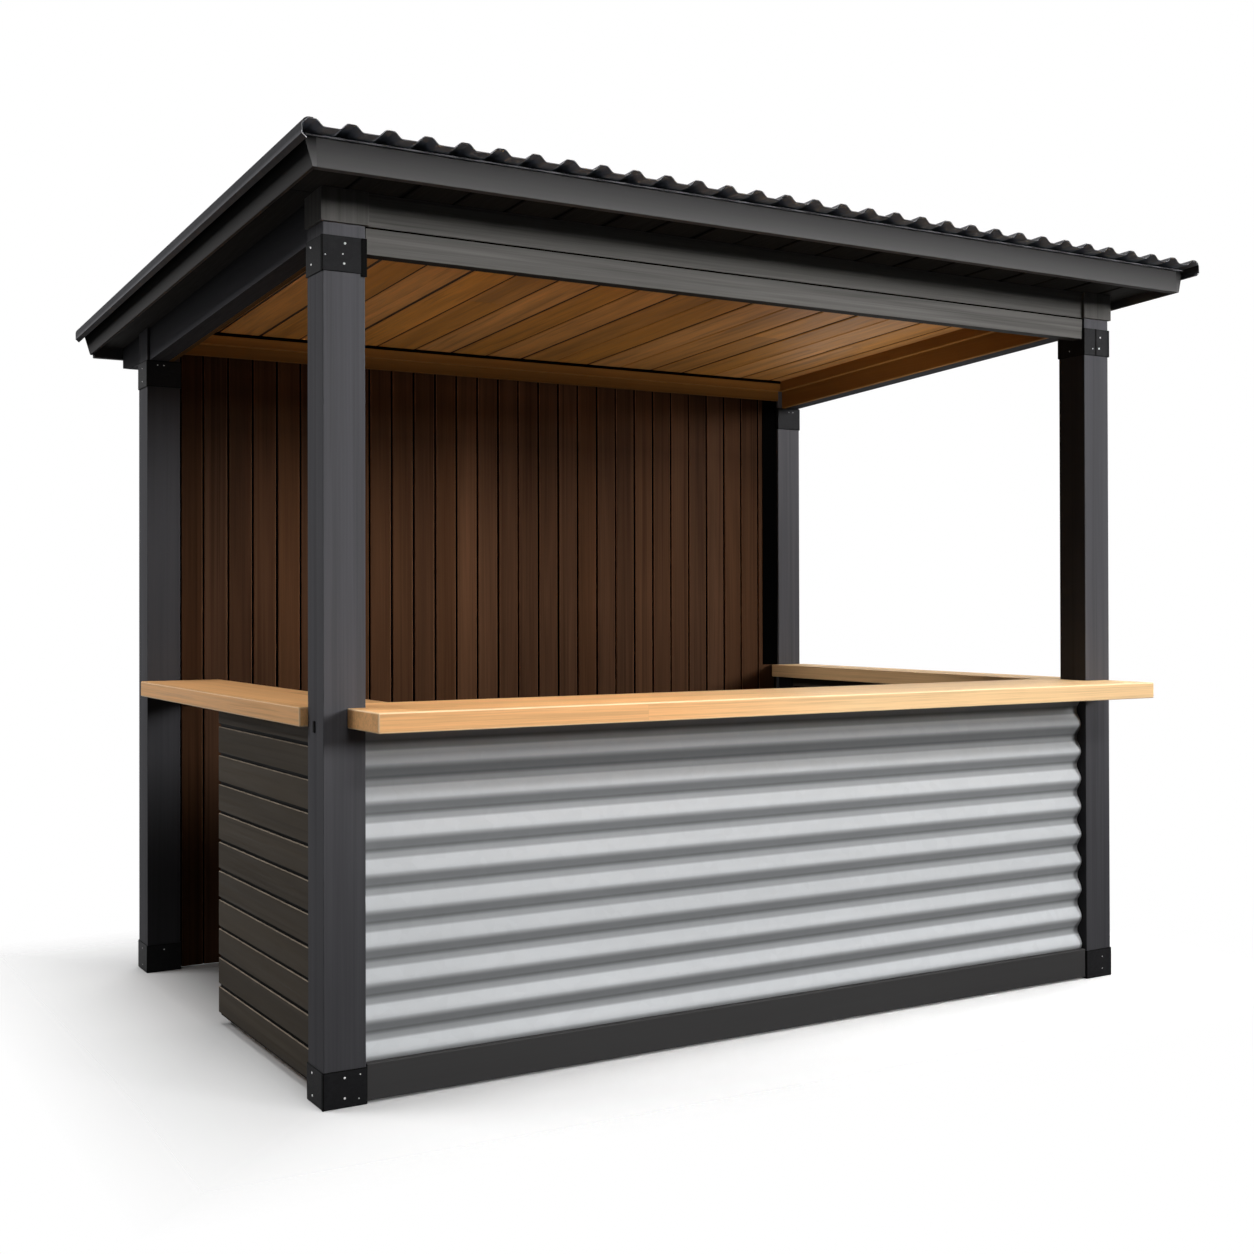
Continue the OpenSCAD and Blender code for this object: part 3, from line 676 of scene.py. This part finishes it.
class Joints(NamedTuple):
    """How boards meet: narrowest and widest gap, arris, how far all joints are moved.

    jump is how far a board may lie back, edges are the marks round its outline.
    """
    gap: tuple
    arris: float
    lead: float = 0.0
    jump: float = 0.0
    edges: tuple = BOARD_EDGES


SOFFIT_JOINTS = Joints(gap=(0.007, 0.017), arris=0.003, jump=0.0012)
CEILING_JOINTS = SOFFIT_JOINTS._replace(lead=0.037)
SIDE_JOINTS = Joints(gap=(0.002, 0.002), arris=0.0015)
WALL_JOINTS = Joints(gap=(0.007, 0.010), arris=0.0026, lead=-0.010)
PANEL_JOINTS = Joints(gap=(0.008, 0.009), arris=0.0025, edges=PANEL_EDGES)
# Share of the ceiling's boards that are laid in two lengths
CEILING_CUTS = 0.3


def board_outline(width, thick, gap, depth, arris):
    """Outline of a board: eased faces, and a tongue that closes the gap to the board before it."""
    return [
        (gap + arris, 0), (width - arris, 0), (width, arris),
        (width, thick - arris), (width - arris, thick), (gap + arris, thick),
        (gap, thick - arris), (gap, thick - depth), (0, thick - depth),
        (0, depth), (gap, depth), (gap, arris)]


def board_row(piece, place, width, pitch, thick, runs, joints):
    """Boards side by side.

    place(s, t, a) gives the point at s across, t deep and a along. runs() gives the start and the
    end of each length of a board.
    """
    count = math.ceil((width - joints.lead) / pitch - SLIVER)
    cuts = [0.0] + [joints.lead + i * pitch for i in range(1, count)] + [width]
    for start, end in zip(cuts, cuts[1:]):
        outline = board_outline(end - start, thick, RNG.uniform(*joints.gap),
                                thick * JOINT_DEPTH, joints.arris)
        for run in runs():
            tone = RNG.random()
            lift = RNG.uniform(0, joints.jump)
            rings = [[place(start + s, t + lift, a) for s, t in outline] for a in run]
            piece.loft(rings, tone, [joints.edges])


def whole(start, end):
    """Full lengths."""
    return lambda: [(start, end)]


def jointed(start, end, share):
    """Full lengths, and for a share of the boards two lengths with a butt joint."""
    def runs():
        if RNG.random() > share:
            return [(start, end)]
        cut = start + (end - start) * RNG.uniform(*BUTT_SPAN)
        return [(start, cut - BUTT), (cut + BUTT, end)]
    return runs


def deck(name, material, node, count, joints, cuts=0.0):
    """Boards down the roof's fall, in place of a flat node."""
    (x0, x1), (v0, v1), (w0, w1) = (span_of(node, way) for way in (ACROSS, DOWN_ROOF, OFF_ROOF))
    piece = Piece()
    board_row(piece, lambda s, t, a: on_roof(x0 + s, a, w0 + t), x1 - x0, (x1 - x0) / count,
              w1 - w0, jointed(v0, v1, cuts), joints)
    piece.done(name, material, node)


def side_soffits():
    """One wide board down each side of the ceiling."""
    inner, outer = (span_of(node, ACROSS)[1] for node in ("ceiling", "side_soffits"))
    w0, w1 = span_of("side_soffits", OFF_ROOF)
    lengths = whole(*span_of("side_soffits", DOWN_ROOF))
    width = outer - inner
    piece = Piece()
    for x0 in (-outer, inner):
        board_row(piece, lambda s, t, a: on_roof(x0 + s, a, w0 + t), width, width, w1 - w0,
                  lengths, SIDE_JOINTS)
    piece.done("side_soffit_boards", "soffit", "side_soffits")


def wall_boards():
    """Upright boards, cut at the top along the roof's fall."""
    low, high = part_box("back_wall")
    width = high.x - low.x

    def place(s, t, a):
        return Vector((low.x + s, low.y + t, min(a, high.z - t * math.tan(PITCH))))

    piece = Piece()
    board_row(piece, place, width, width / WALL_BOARDS, high.y - low.y, whole(low.z, high.z),
              WALL_JOINTS)
    piece.done("back_wall_boards", "wall", "back_wall")


def panel_boards(node, name, outward):
    """Level boards whose faces look to the left or to the right."""
    low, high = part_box(node)
    face = low.x if outward < 0 else high.x
    piece = Piece()
    board_row(piece, lambda s, t, a: Vector((face - outward * t, a, low.z + s)), high.z - low.z,
              PANEL_BOARD, high.x - low.x, whole(low.y, high.y), PANEL_JOINTS)
    piece.done(name, "panel", node)


SOFFIT_BOARDS = round(CEILING_BOARDS * span_of("soffit_front", ACROSS)[1]
                      / span_of("ceiling", ACROSS)[1])
deck("ceiling_boards", "ceiling", "ceiling", CEILING_BOARDS, CEILING_JOINTS, CEILING_CUTS)
deck("soffit_front_boards", "soffit", "soffit_front", SOFFIT_BOARDS, SOFFIT_JOINTS)
deck("soffit_back_boards", "soffit", "soffit_back", SOFFIT_BOARDS, SOFFIT_JOINTS)
side_soffits()
wall_boards()
panel_boards("left_panel", "left_panel_boards", -1)
panel_boards("right_panel", "right_panel_boards", 1)


# Sheets

WAVE_STEPS = 24
ROLL_STEPS = 12
# End strip of the bar sheet: thickness, how far it stands proud, depth and ease
END_T, END_PROUD, END_DEEP, END_EASE = 0.003, 0.001, 0.012, 0.001


def strip(piece, line, thick, place0, place1, under=0.0):
    """Sheet of even thickness along a line of points, between two ends. Its folds stay sharp."""
    normals = []
    folds = []
    for i, p in enumerate(line):
        a, b = line[max(i - 1, 0)], line[min(i + 1, len(line) - 1)]
        d = (b - a).normalized()
        normals.append(Vector((-d.y, d.x)))
        if 0 < i < len(line) - 1 and (p - a).angle(b - p) > SHARP:
            folds.append(i)
    upper = [p + n * thick / 2 for p, n in zip(line, normals)]
    lower = [p - n * thick / 2 for p, n in zip(line, normals)]
    u0, l0 = (piece.verts([place0(p) for p in side]) for side in (upper, lower))
    u1, l1 = (piece.verts([place1(p) for p in side]) for side in (upper, lower))
    for i in range(len(line) - 1):
        piece.face([u0[i], u0[i + 1], u1[i + 1], u1[i]], 0.0, True)
        piece.face([l0[i], l1[i], l1[i + 1], l0[i + 1]], under, True)
        piece.face([u0[i], l0[i], l0[i + 1], u0[i + 1]], 1.0)
        piece.face([u1[i], u1[i + 1], l1[i + 1], l1[i]], 1.0)
    for i in (0, -1):
        piece.face([u0[i], u1[i], l1[i], l0[i]], 1.0)
    sharp = [pair for ring in (u0, u1, l0, l1) for pair in zip(ring, ring[1:])]
    sharp += [pair for i in folds for pair in ((u0[i], u1[i]), (l0[i], l1[i]))]
    for pair in sharp:
        piece.bm.edges.get(pair).smooth = False


def roof_strip(piece, line, thick, under=0.0):
    """Sheet from the front to the back of the roof, along a line of points across it."""
    strip(piece, line, thick, lambda p: on_roof(p.x, SHEET_FRONT_V, p.y),
          lambda p: on_roof(p.x, SHEET_BACK_V, p.y), under)


def crest_rise(s):
    """Height of a corrugation, as a share of its depth, at a share of its pitch from the crest."""
    down = min(1.0, max(0.0, (abs(s) - CREST_SHARE / 2) / SLOPE_SHARE))
    return (1 + math.cos(math.pi * down)) / 2


def roof_sheet():
    """Roof sheet whose corrugations run down the fall."""
    steps = round(2 * SHEET_HALF / SHEET_PITCH * WAVE_STEPS)
    line = []
    for k in range(steps + 1):
        x = -SHEET_HALF + 2 * SHEET_HALF * k / steps
        s = (x - FIRST_CREST) / SHEET_PITCH
        line.append(Vector((x, SHEET_LOW + SHEET_T / 2 + SHEET_WAVE * crest_rise(s - round(s)))))
    piece = Piece()
    roof_strip(piece, line, SHEET_T, under=-1.0)
    piece.done("roof_sheet_waves", "roof", "roof_sheet")


def barge_trim(side, outward):
    """Side trim: a lip over the sheet, a roll, a wall and a short return at its foot."""
    wall = TRIM_HALF - TRIM_T / 2
    top = TRIM_HIGH - TRIM_T / 2
    centre = Vector((wall - TRIM_R, top - TRIM_R))
    turns = [math.pi / 2 * (1 - k / ROLL_STEPS) for k in range(ROLL_STEPS + 1)]
    line = [Vector((wall - TRIM_LIP, top))]
    line += [centre + TRIM_R * Vector((math.cos(a), math.sin(a))) for a in turns]
    line += [Vector((wall, top - TRIM_WALL)),
             Vector((wall - TRIM_RETURN_W, top - TRIM_WALL - TRIM_RETURN_DROP))]
    piece = Piece()
    roof_strip(piece, [Vector((outward * p.x, p.y)) for p in line], TRIM_T)
    piece.done(f"barge_trim_{side}_roll", "trim", f"barge_trim_{side}")


def front_sheet():
    """Bar sheet with level waves, and the strip that closes its left end."""
    low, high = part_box("front_sheet")
    middle = (low.y + high.y) / 2
    height = high.z - low.z
    steps = round(height / FRONT_WAVE_PITCH * WAVE_STEPS)
    line = []
    for k in range(steps + 1):
        z = height * k / steps
        turn = 2 * math.pi * (z + FRONT_WAVE_START) / FRONT_WAVE_PITCH
        line.append(Vector((middle + FRONT_WAVE / 2 * math.cos(turn), low.z + z)))
    piece = Piece()
    strip(piece, line, SHEET_T, lambda p: Vector((low.x, *p)), lambda p: Vector((high.x, *p)))
    piece.done("front_sheet_waves", "galvanised", "front_sheet")
    end = Piece()
    end.box((low.x - END_T, low.y - END_PROUD, low.z), (low.x, low.y + END_DEEP, high.z), END_EASE)
    end.done("front_sheet_end", "galvanised")


roof_sheet()
barge_trim("left", -1)
barge_trim("right", 1)
front_sheet()


# Screws

FACES = {"front": -BACKWARD, "back": BACKWARD, "left": -ACROSS, "right": ACROSS}
BIG, SMALL = 0.0034, 0.0020
# How deep a screw's head is let in, and a bracket screw's height as a share of its radius
SCREW_SEAT, SCREW_RISE = 0.0004, 0.6
ROOF_SCREW_R, ROOF_SCREW_H, ROOF_SCREW_SIDES = 0.006, 0.004, 10
# From the fascias to the first and the last row of roof screws
ROW_FRONT, ROW_BACK = 0.03, 0.04


def stacked(face, radius, low, high, across=0.5):
    """Two screws, one above the other."""
    return [(face, across, high, radius), (face, across, low, radius)]


# Screws on each bracket: face, shares of its width and height, radius
BRACKET_SCREWS = {
    "top_sleeve_front_left": [
        ("front", 0.51, 0.80, BIG), ("front", 0.49, 0.24, BIG), ("front", 0.46, 0.50, SMALL),
        ("left", 0.68, 0.78, BIG), ("left", 0.66, 0.30, BIG), ("front", 0.07, 0.44, SMALL)],
    "top_sleeve_front_right": [
        ("front", 0.64, 0.70, BIG), ("front", 0.59, 0.28, BIG), ("front", 0.34, 0.26, SMALL),
        ("left", 0.55, 0.22, SMALL), *stacked("right", BIG, 0.25, 0.75)],
    "top_sleeve_back_left": [
        ("front", 0.32, 0.83, SMALL), ("front", 0.50, 0.83, SMALL),
        *stacked("left", SMALL, 0.25, 0.75), *stacked("back", BIG, 0.25, 0.75)],
    "top_sleeve_back_right": [
        ("front", 0.50, 0.83, SMALL), ("front", 0.68, 0.83, SMALL),
        *stacked("right", SMALL, 0.25, 0.75), *stacked("back", BIG, 0.25, 0.75)],
    "base_shoe_front_left": [
        *stacked("front", BIG, 0.26, 0.80, 0.48), ("front", 0.83, 0.84, SMALL),
        ("front", 0.80, 0.20, SMALL), ("left", 0.66, 0.82, BIG), ("left", 0.64, 0.22, BIG)],
    "base_shoe_front_right": [
        *stacked("front", SMALL, 0.30, 0.72, 0.62), *stacked("right", BIG, 0.2, 0.8)],
    "base_shoe_back_left": [
        ("front", 0.5, 0.8, SMALL), *stacked("left", SMALL, 0.2, 0.8),
        *stacked("back", BIG, 0.2, 0.8)],
    "base_shoe_back_right": [
        ("front", 0.5, 0.8, SMALL), *stacked("right", SMALL, 0.2, 0.8),
        *stacked("back", BIG, 0.2, 0.8)],
}


def on_face(node, face, across, up):
    """Point on a face of a node's box, at shares of the face's width and height."""
    low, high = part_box(node)
    normal = FACES[face]
    point = Vector((low.x + (high.x - low.x) * across, low.y + (high.y - low.y) * across,
                    low.z + (high.z - low.z) * up))
    axis = 0 if normal.x else 1
    point[axis] = low[axis] if normal[axis] < 0 else high[axis]
    return point


def bracket_screws():
    piece = Piece()
    for bracket, places in BRACKET_SCREWS.items():
        for face, across, up, radius in places:
            seat = on_face(bracket, face, across, up) - FACES[face] * SCREW_SEAT
            piece.dome(seat, FACES[face], radius, radius * SCREW_RISE)
    piece.done("bracket_screws", "screw")


def roof_screws():
    """Rows of screws on the crests. Those at the sides go through the trims."""
    piece = Piece()
    middle = (FASCIA_FRONT_V + FASCIA_BACK_V) / 2
    for v in (FASCIA_FRONT_V + ROW_FRONT, middle, FASCIA_BACK_V - ROW_BACK):
        for i in range(CRESTS):
            lift = TRIM_T if i in (0, CRESTS - 1) else 0.0
            seat = on_roof(FIRST_CREST + i * SHEET_PITCH, v, SHEET_HIGH + lift - SCREW_SEAT)
            piece.dome(seat, OFF_ROOF, ROOF_SCREW_R, ROOF_SCREW_H, ROOF_SCREW_SIDES)
    piece.done("roof_screws", "trim")


bracket_screws()
roof_screws()


# Small fittings and dark joints

# How deep strips are let in, how far those on brackets stand proud, and their ease
LET_IN, STRIP_PROUD, STRIP_EASE = 0.002, 0.0008, 0.0004
# Fold of the front-left sleeve: width, drop below the sleeve, how far it stands proud, ease
FOLD_W, FOLD_DROP, FOLD_PROUD, FOLD_EASE = 0.015, 0.007, 0.0015, 0.0006
# Strip round the left corner of the front-left brackets
CORNER_W = 0.010
# Seam of the front-right sleeve, at a share of its width, and the strip at its right edge
SEAM_AT, SEAM_W, RIM_W = 0.46, 0.006, 0.006
# Tabs on the left posts at the counter: width, height, how far they stand proud, depth, ease
TAB_W, TAB_H, TAB_PROUD, TAB_LET_IN, TAB_EASE = 0.013, 0.031, 0.003, 0.001, 0.001
# The middle of each tab: its place to the back and its height
TABS = {"front_left": (FRONT_Y + 0.066, 1.009), "back_left": (BACK_Y - 0.061, 1.025)}
# Painted shadow: dark strips for the gaps under the ceiling at the back trim and over the front
# beam: height, proud, ease
TRIM_GAP, TRIM_GAP_PROUD, TRIM_GAP_EASE = 0.012, 0.001, 0.0004
BEAM_GAP, BEAM_GAP_PROUD, BEAM_GAP_EASE = 0.0045, 0.0006, 0.0003
# Painted shadow: a dark strip at the wall's right end: width, half its thickness, ease, gap at
# its side and its ends
END_SHADOW_W, END_SHADOW_T, END_SHADOW_EASE, END_SHADOW_SIDE, END_SHADOW_END = 0.078, 0.004, 0.001, 0.0005, 0.001


def front_strip(piece, x_span, z_span, y, proud, ease):
    """Strip let into a face that looks to the front."""
    (x0, x1), (z0, z1) = x_span, z_span
    piece.box((x0, y - proud, z0), (x1, y + LET_IN, z1), ease)


def black_fittings():
    """Folds and seams of the front brackets, and tabs on the left posts."""
    piece = Piece()
    low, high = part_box("top_sleeve_front_left")
    front_strip(piece, (high.x - FOLD_W, high.x), (low.z - FOLD_DROP, high.z), low.y, FOLD_PROUD,
                FOLD_EASE)
    for bracket in ("top_sleeve_front_left", "base_shoe_front_left"):
        low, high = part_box(bracket)
        piece.box((low.x - STRIP_PROUD, low.y, low.z), (low.x + LET_IN, low.y + CORNER_W, high.z),
                  STRIP_EASE)
    low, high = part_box("top_sleeve_front_right")
    seam = low.x + (high.x - low.x) * SEAM_AT
    for x_span in ((seam - SEAM_W / 2, seam + SEAM_W / 2), (high.x - RIM_W, high.x)):
        front_strip(piece, x_span, (low.z, high.z), low.y, STRIP_PROUD, STRIP_EASE)
    for corner, (y, z) in TABS.items():
        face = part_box("post_" + corner)[0].x
        piece.box((face - TAB_PROUD, y - TAB_W / 2, z - TAB_H / 2),
                  (face + TAB_LET_IN, y + TAB_W / 2, z + TAB_H / 2), TAB_EASE)
    piece.done("black_fittings", "dark")


def painted_shadow_strips():
    """Painted shadow strips over the back trim, at the wall's right end and over the front beam.
    """
    piece = Piece()
    low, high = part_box("back_trim")
    front_strip(piece, (low.x, high.x), (high.z - TRIM_GAP, high.z), low.y, TRIM_GAP_PROUD,
                TRIM_GAP_EASE)
    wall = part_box("back_wall")[0].y
    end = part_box("post_back_right")[0].x
    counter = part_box("counter_right")[1].z
    piece.box((end - END_SHADOW_W, wall - END_SHADOW_T, counter + END_SHADOW_END),
              (end - END_SHADOW_SIDE, wall + END_SHADOW_T, low.z - END_SHADOW_END), END_SHADOW_EASE)
    low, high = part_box("front_beam")
    front_strip(piece, (low.x, high.x), (high.z - BEAM_GAP, high.z), low.y, BEAM_GAP_PROUD,
                BEAM_GAP_EASE)
    piece.done("painted_shadow_strips", "painted_shadow")


black_fittings()
painted_shadow_strips()


# Camera, at the photograph's place

# Side of the photograph, focal length and middle of the view, in pixels
FRAME_PX = 1254
CAM_F, CAM_U0, CAM_V0 = 1568.8, 601.86, 594.69
CAM_AT = Vector((-2.9483, FRONT_Y - 3.9454, 1.3350))
# In radians: to the right, upward and round the line of sight
CAM_YAW, CAM_PITCH, CAM_ROLL = 0.5310, 0.0062, -0.0022
SENSOR = 36


def turned(a, b, angle):
    """Two ways square to each other, turned from the first towards the second."""
    return (a * math.cos(angle) + b * math.sin(angle), b * math.cos(angle) - a * math.sin(angle))


def photo_camera():
    camera = bpy.data.objects.new("camera", bpy.data.cameras.new("camera"))
    bpy.context.scene.collection.objects.link(camera)
    ahead, right = turned(BACKWARD, ACROSS, CAM_YAW)
    ahead, up = turned(ahead, UP, CAM_PITCH)
    right, up = turned(right, up, CAM_ROLL)
    facing = Matrix((right, up, -ahead)).transposed().to_4x4()
    camera.matrix_world = Matrix.Translation(CAM_AT) @ facing
    camera.data.sensor_width = SENSOR
    camera.data.lens = CAM_F / FRAME_PX * SENSOR
    camera.data.shift_x = (FRAME_PX / 2 - CAM_U0) / FRAME_PX
    camera.data.shift_y = (CAM_V0 - FRAME_PX / 2) / FRAME_PX
    bpy.context.scene.camera = camera


photo_camera()


# Background, floor and light

AMBIENT = 0.04
FLOOR_HALF = 9.0
# How far from the posts the floor fades out
FLOOR_FADE = 0.64
# A painted shadow on the floor starts outside the posts' line and is darkest inside it
FLOOR_OUTSIDE, FLOOR_INSIDE, FLOOR_DARKEST = 0.03, 0.25, 0.3
FLOOR_BOUNCE = 0.12
# Painted light: the floor is paler towards the front and the right, where the photograph's
# floor has no shadow
FLOOR_WAY = Vector((0.8, -0.6, 0.0))
FLOOR_SPAN, FLOOR_LEVELS = (-1.1, 0.9), (0.60, 1.25)


def studio_world():
    """White where it is seen, faint as a light."""
    world = bpy.data.worlds.new("studio")
    bpy.context.scene.world = world
    tree = Tree(world)
    tree.set(tree.nodes["Background"], Color=(1, 1, 1, 1),
             Strength=tree.remap(tree.seen(), 0.0, 1.0, AMBIENT, 1.0))


def floor_material():
    """Pale ground with the part's soft shadow, in part painted, clear further out."""
    material = bpy.data.materials.new("pale_floor")
    tree = Tree(material)
    tree.nodes.remove(tree.nodes["Principled BSDF"])
    spot = tree.add("SeparateXYZ", Vector=tree.vector("ABSOLUTE", tree.coords())).outputs
    reach = tree.math("MAXIMUM", tree.math("SUBTRACT", spot["X"], HALF_W),
                      tree.math("SUBTRACT", spot["Y"], FRAME_D / 2))
    pale = tree.remap(tree.along(FLOOR_WAY), *FLOOR_SPAN, *FLOOR_LEVELS)
    shadow = tree.remap(reach, -FLOOR_INSIDE, FLOOR_OUTSIDE, FLOOR_DARKEST, 1.0)
    pale = tree.math("MULTIPLY", pale, shadow)
    grey = tree.add("CombineColor", i0=pale, i1=pale, i2=pale).outputs[0]
    ground = tree.add("BsdfDiffuse", Color=tree.mix(tree.seen(), [FLOOR_BOUNCE] * 3, grey))
    clear = tree.add("BsdfTransparent")
    cover = tree.add("MixShader", Fac=tree.remap(reach, 0.0, FLOOR_FADE), i1=ground.outputs[0],
                     i2=clear.outputs[0])
    tree.set(tree.nodes["Material Output"], Surface=cover.outputs[0])
    return material


def pale_floor():
    mesh = bpy.data.meshes.new("floor")
    mesh.from_pydata([(-FLOOR_HALF, -FLOOR_HALF, 0), (FLOOR_HALF, -FLOOR_HALF, 0),
                      (FLOOR_HALF, FLOOR_HALF, 0), (-FLOOR_HALF, FLOOR_HALF, 0)],
                     [], [(0, 1, 2, 3)])
    mesh.materials.append(floor_material())
    floor = bpy.data.objects.new("floor", mesh)
    bpy.context.scene.collection.objects.link(floor)


def lamp(name, at, target, size, watts, spread):
    """Area light that no camera sees."""
    data = bpy.data.lights.new(name, "AREA")
    data.shape = "RECTANGLE"
    data.size, data.size_y = size
    data.energy = watts
    data.spread = math.radians(spread)
    light = bpy.data.objects.new(name, data)
    light.location = at
    light.rotation_euler = (Vector(target) - Vector(at)).to_track_quat("-Z", "Y").to_euler()
    light.visible_camera = False
    bpy.context.scene.collection.objects.link(light)


# Name, place, target, width and height, watts, spread in degrees
LAMPS = [
    ("front_light", (10.0, -15.0, 6.5), (0.3, -1.0, 4.2), (5.0, 6.0), 195, 26),
    ("bar_light", (0.3, -4.4, 3.45), (0.3, -1.0, 0.5), (4.4, 0.3), 3.6, 26),
    ("counter_light", (0.3, -2.1, 3.6), (0.3, -1.09, 1.06), (3.4, 0.3), 2.7, 30),
    ("left_light", (-6.3, 2.6, 6.4), (-1.5, 0.2, 1.2), (3.0, 2.0), 308, 180),
    ("right_light", (6.5, -0.5, 5.0), (2.5, -0.5, 0.0), (3.0, 3.0), 120, 180),
    ("top_light", (0.0, 0.0, 20.0), (0.0, 0.0, 0.0), (15.0, 15.0), 3950, 180),
    ("back_light", (1.2, 6.2, 4.0), (0.0, 1.0, 1.3), (4.0, 3.0), 200, 180),
    ("ceiling_light", (-0.4, -0.72, 0.85), (-0.4, 0.5, 2.35), (2.0, 0.2), 1.5, 90),
    ("ceiling_right_light", (1.2, -0.5, 1.2), (1.3, 0.1, 2.35), (0.3, 0.2), 1.3, 90),
    ("right_counter_light", (-0.8, 0.1, 1.6), (1.25, 0.1, 1.04), (1.2, 0.1), 0.6, 24),
]

studio_world()
pale_floor()
for row in LAMPS:
    lamp(*row)

bpy.context.scene.view_settings.view_transform = "Standard"
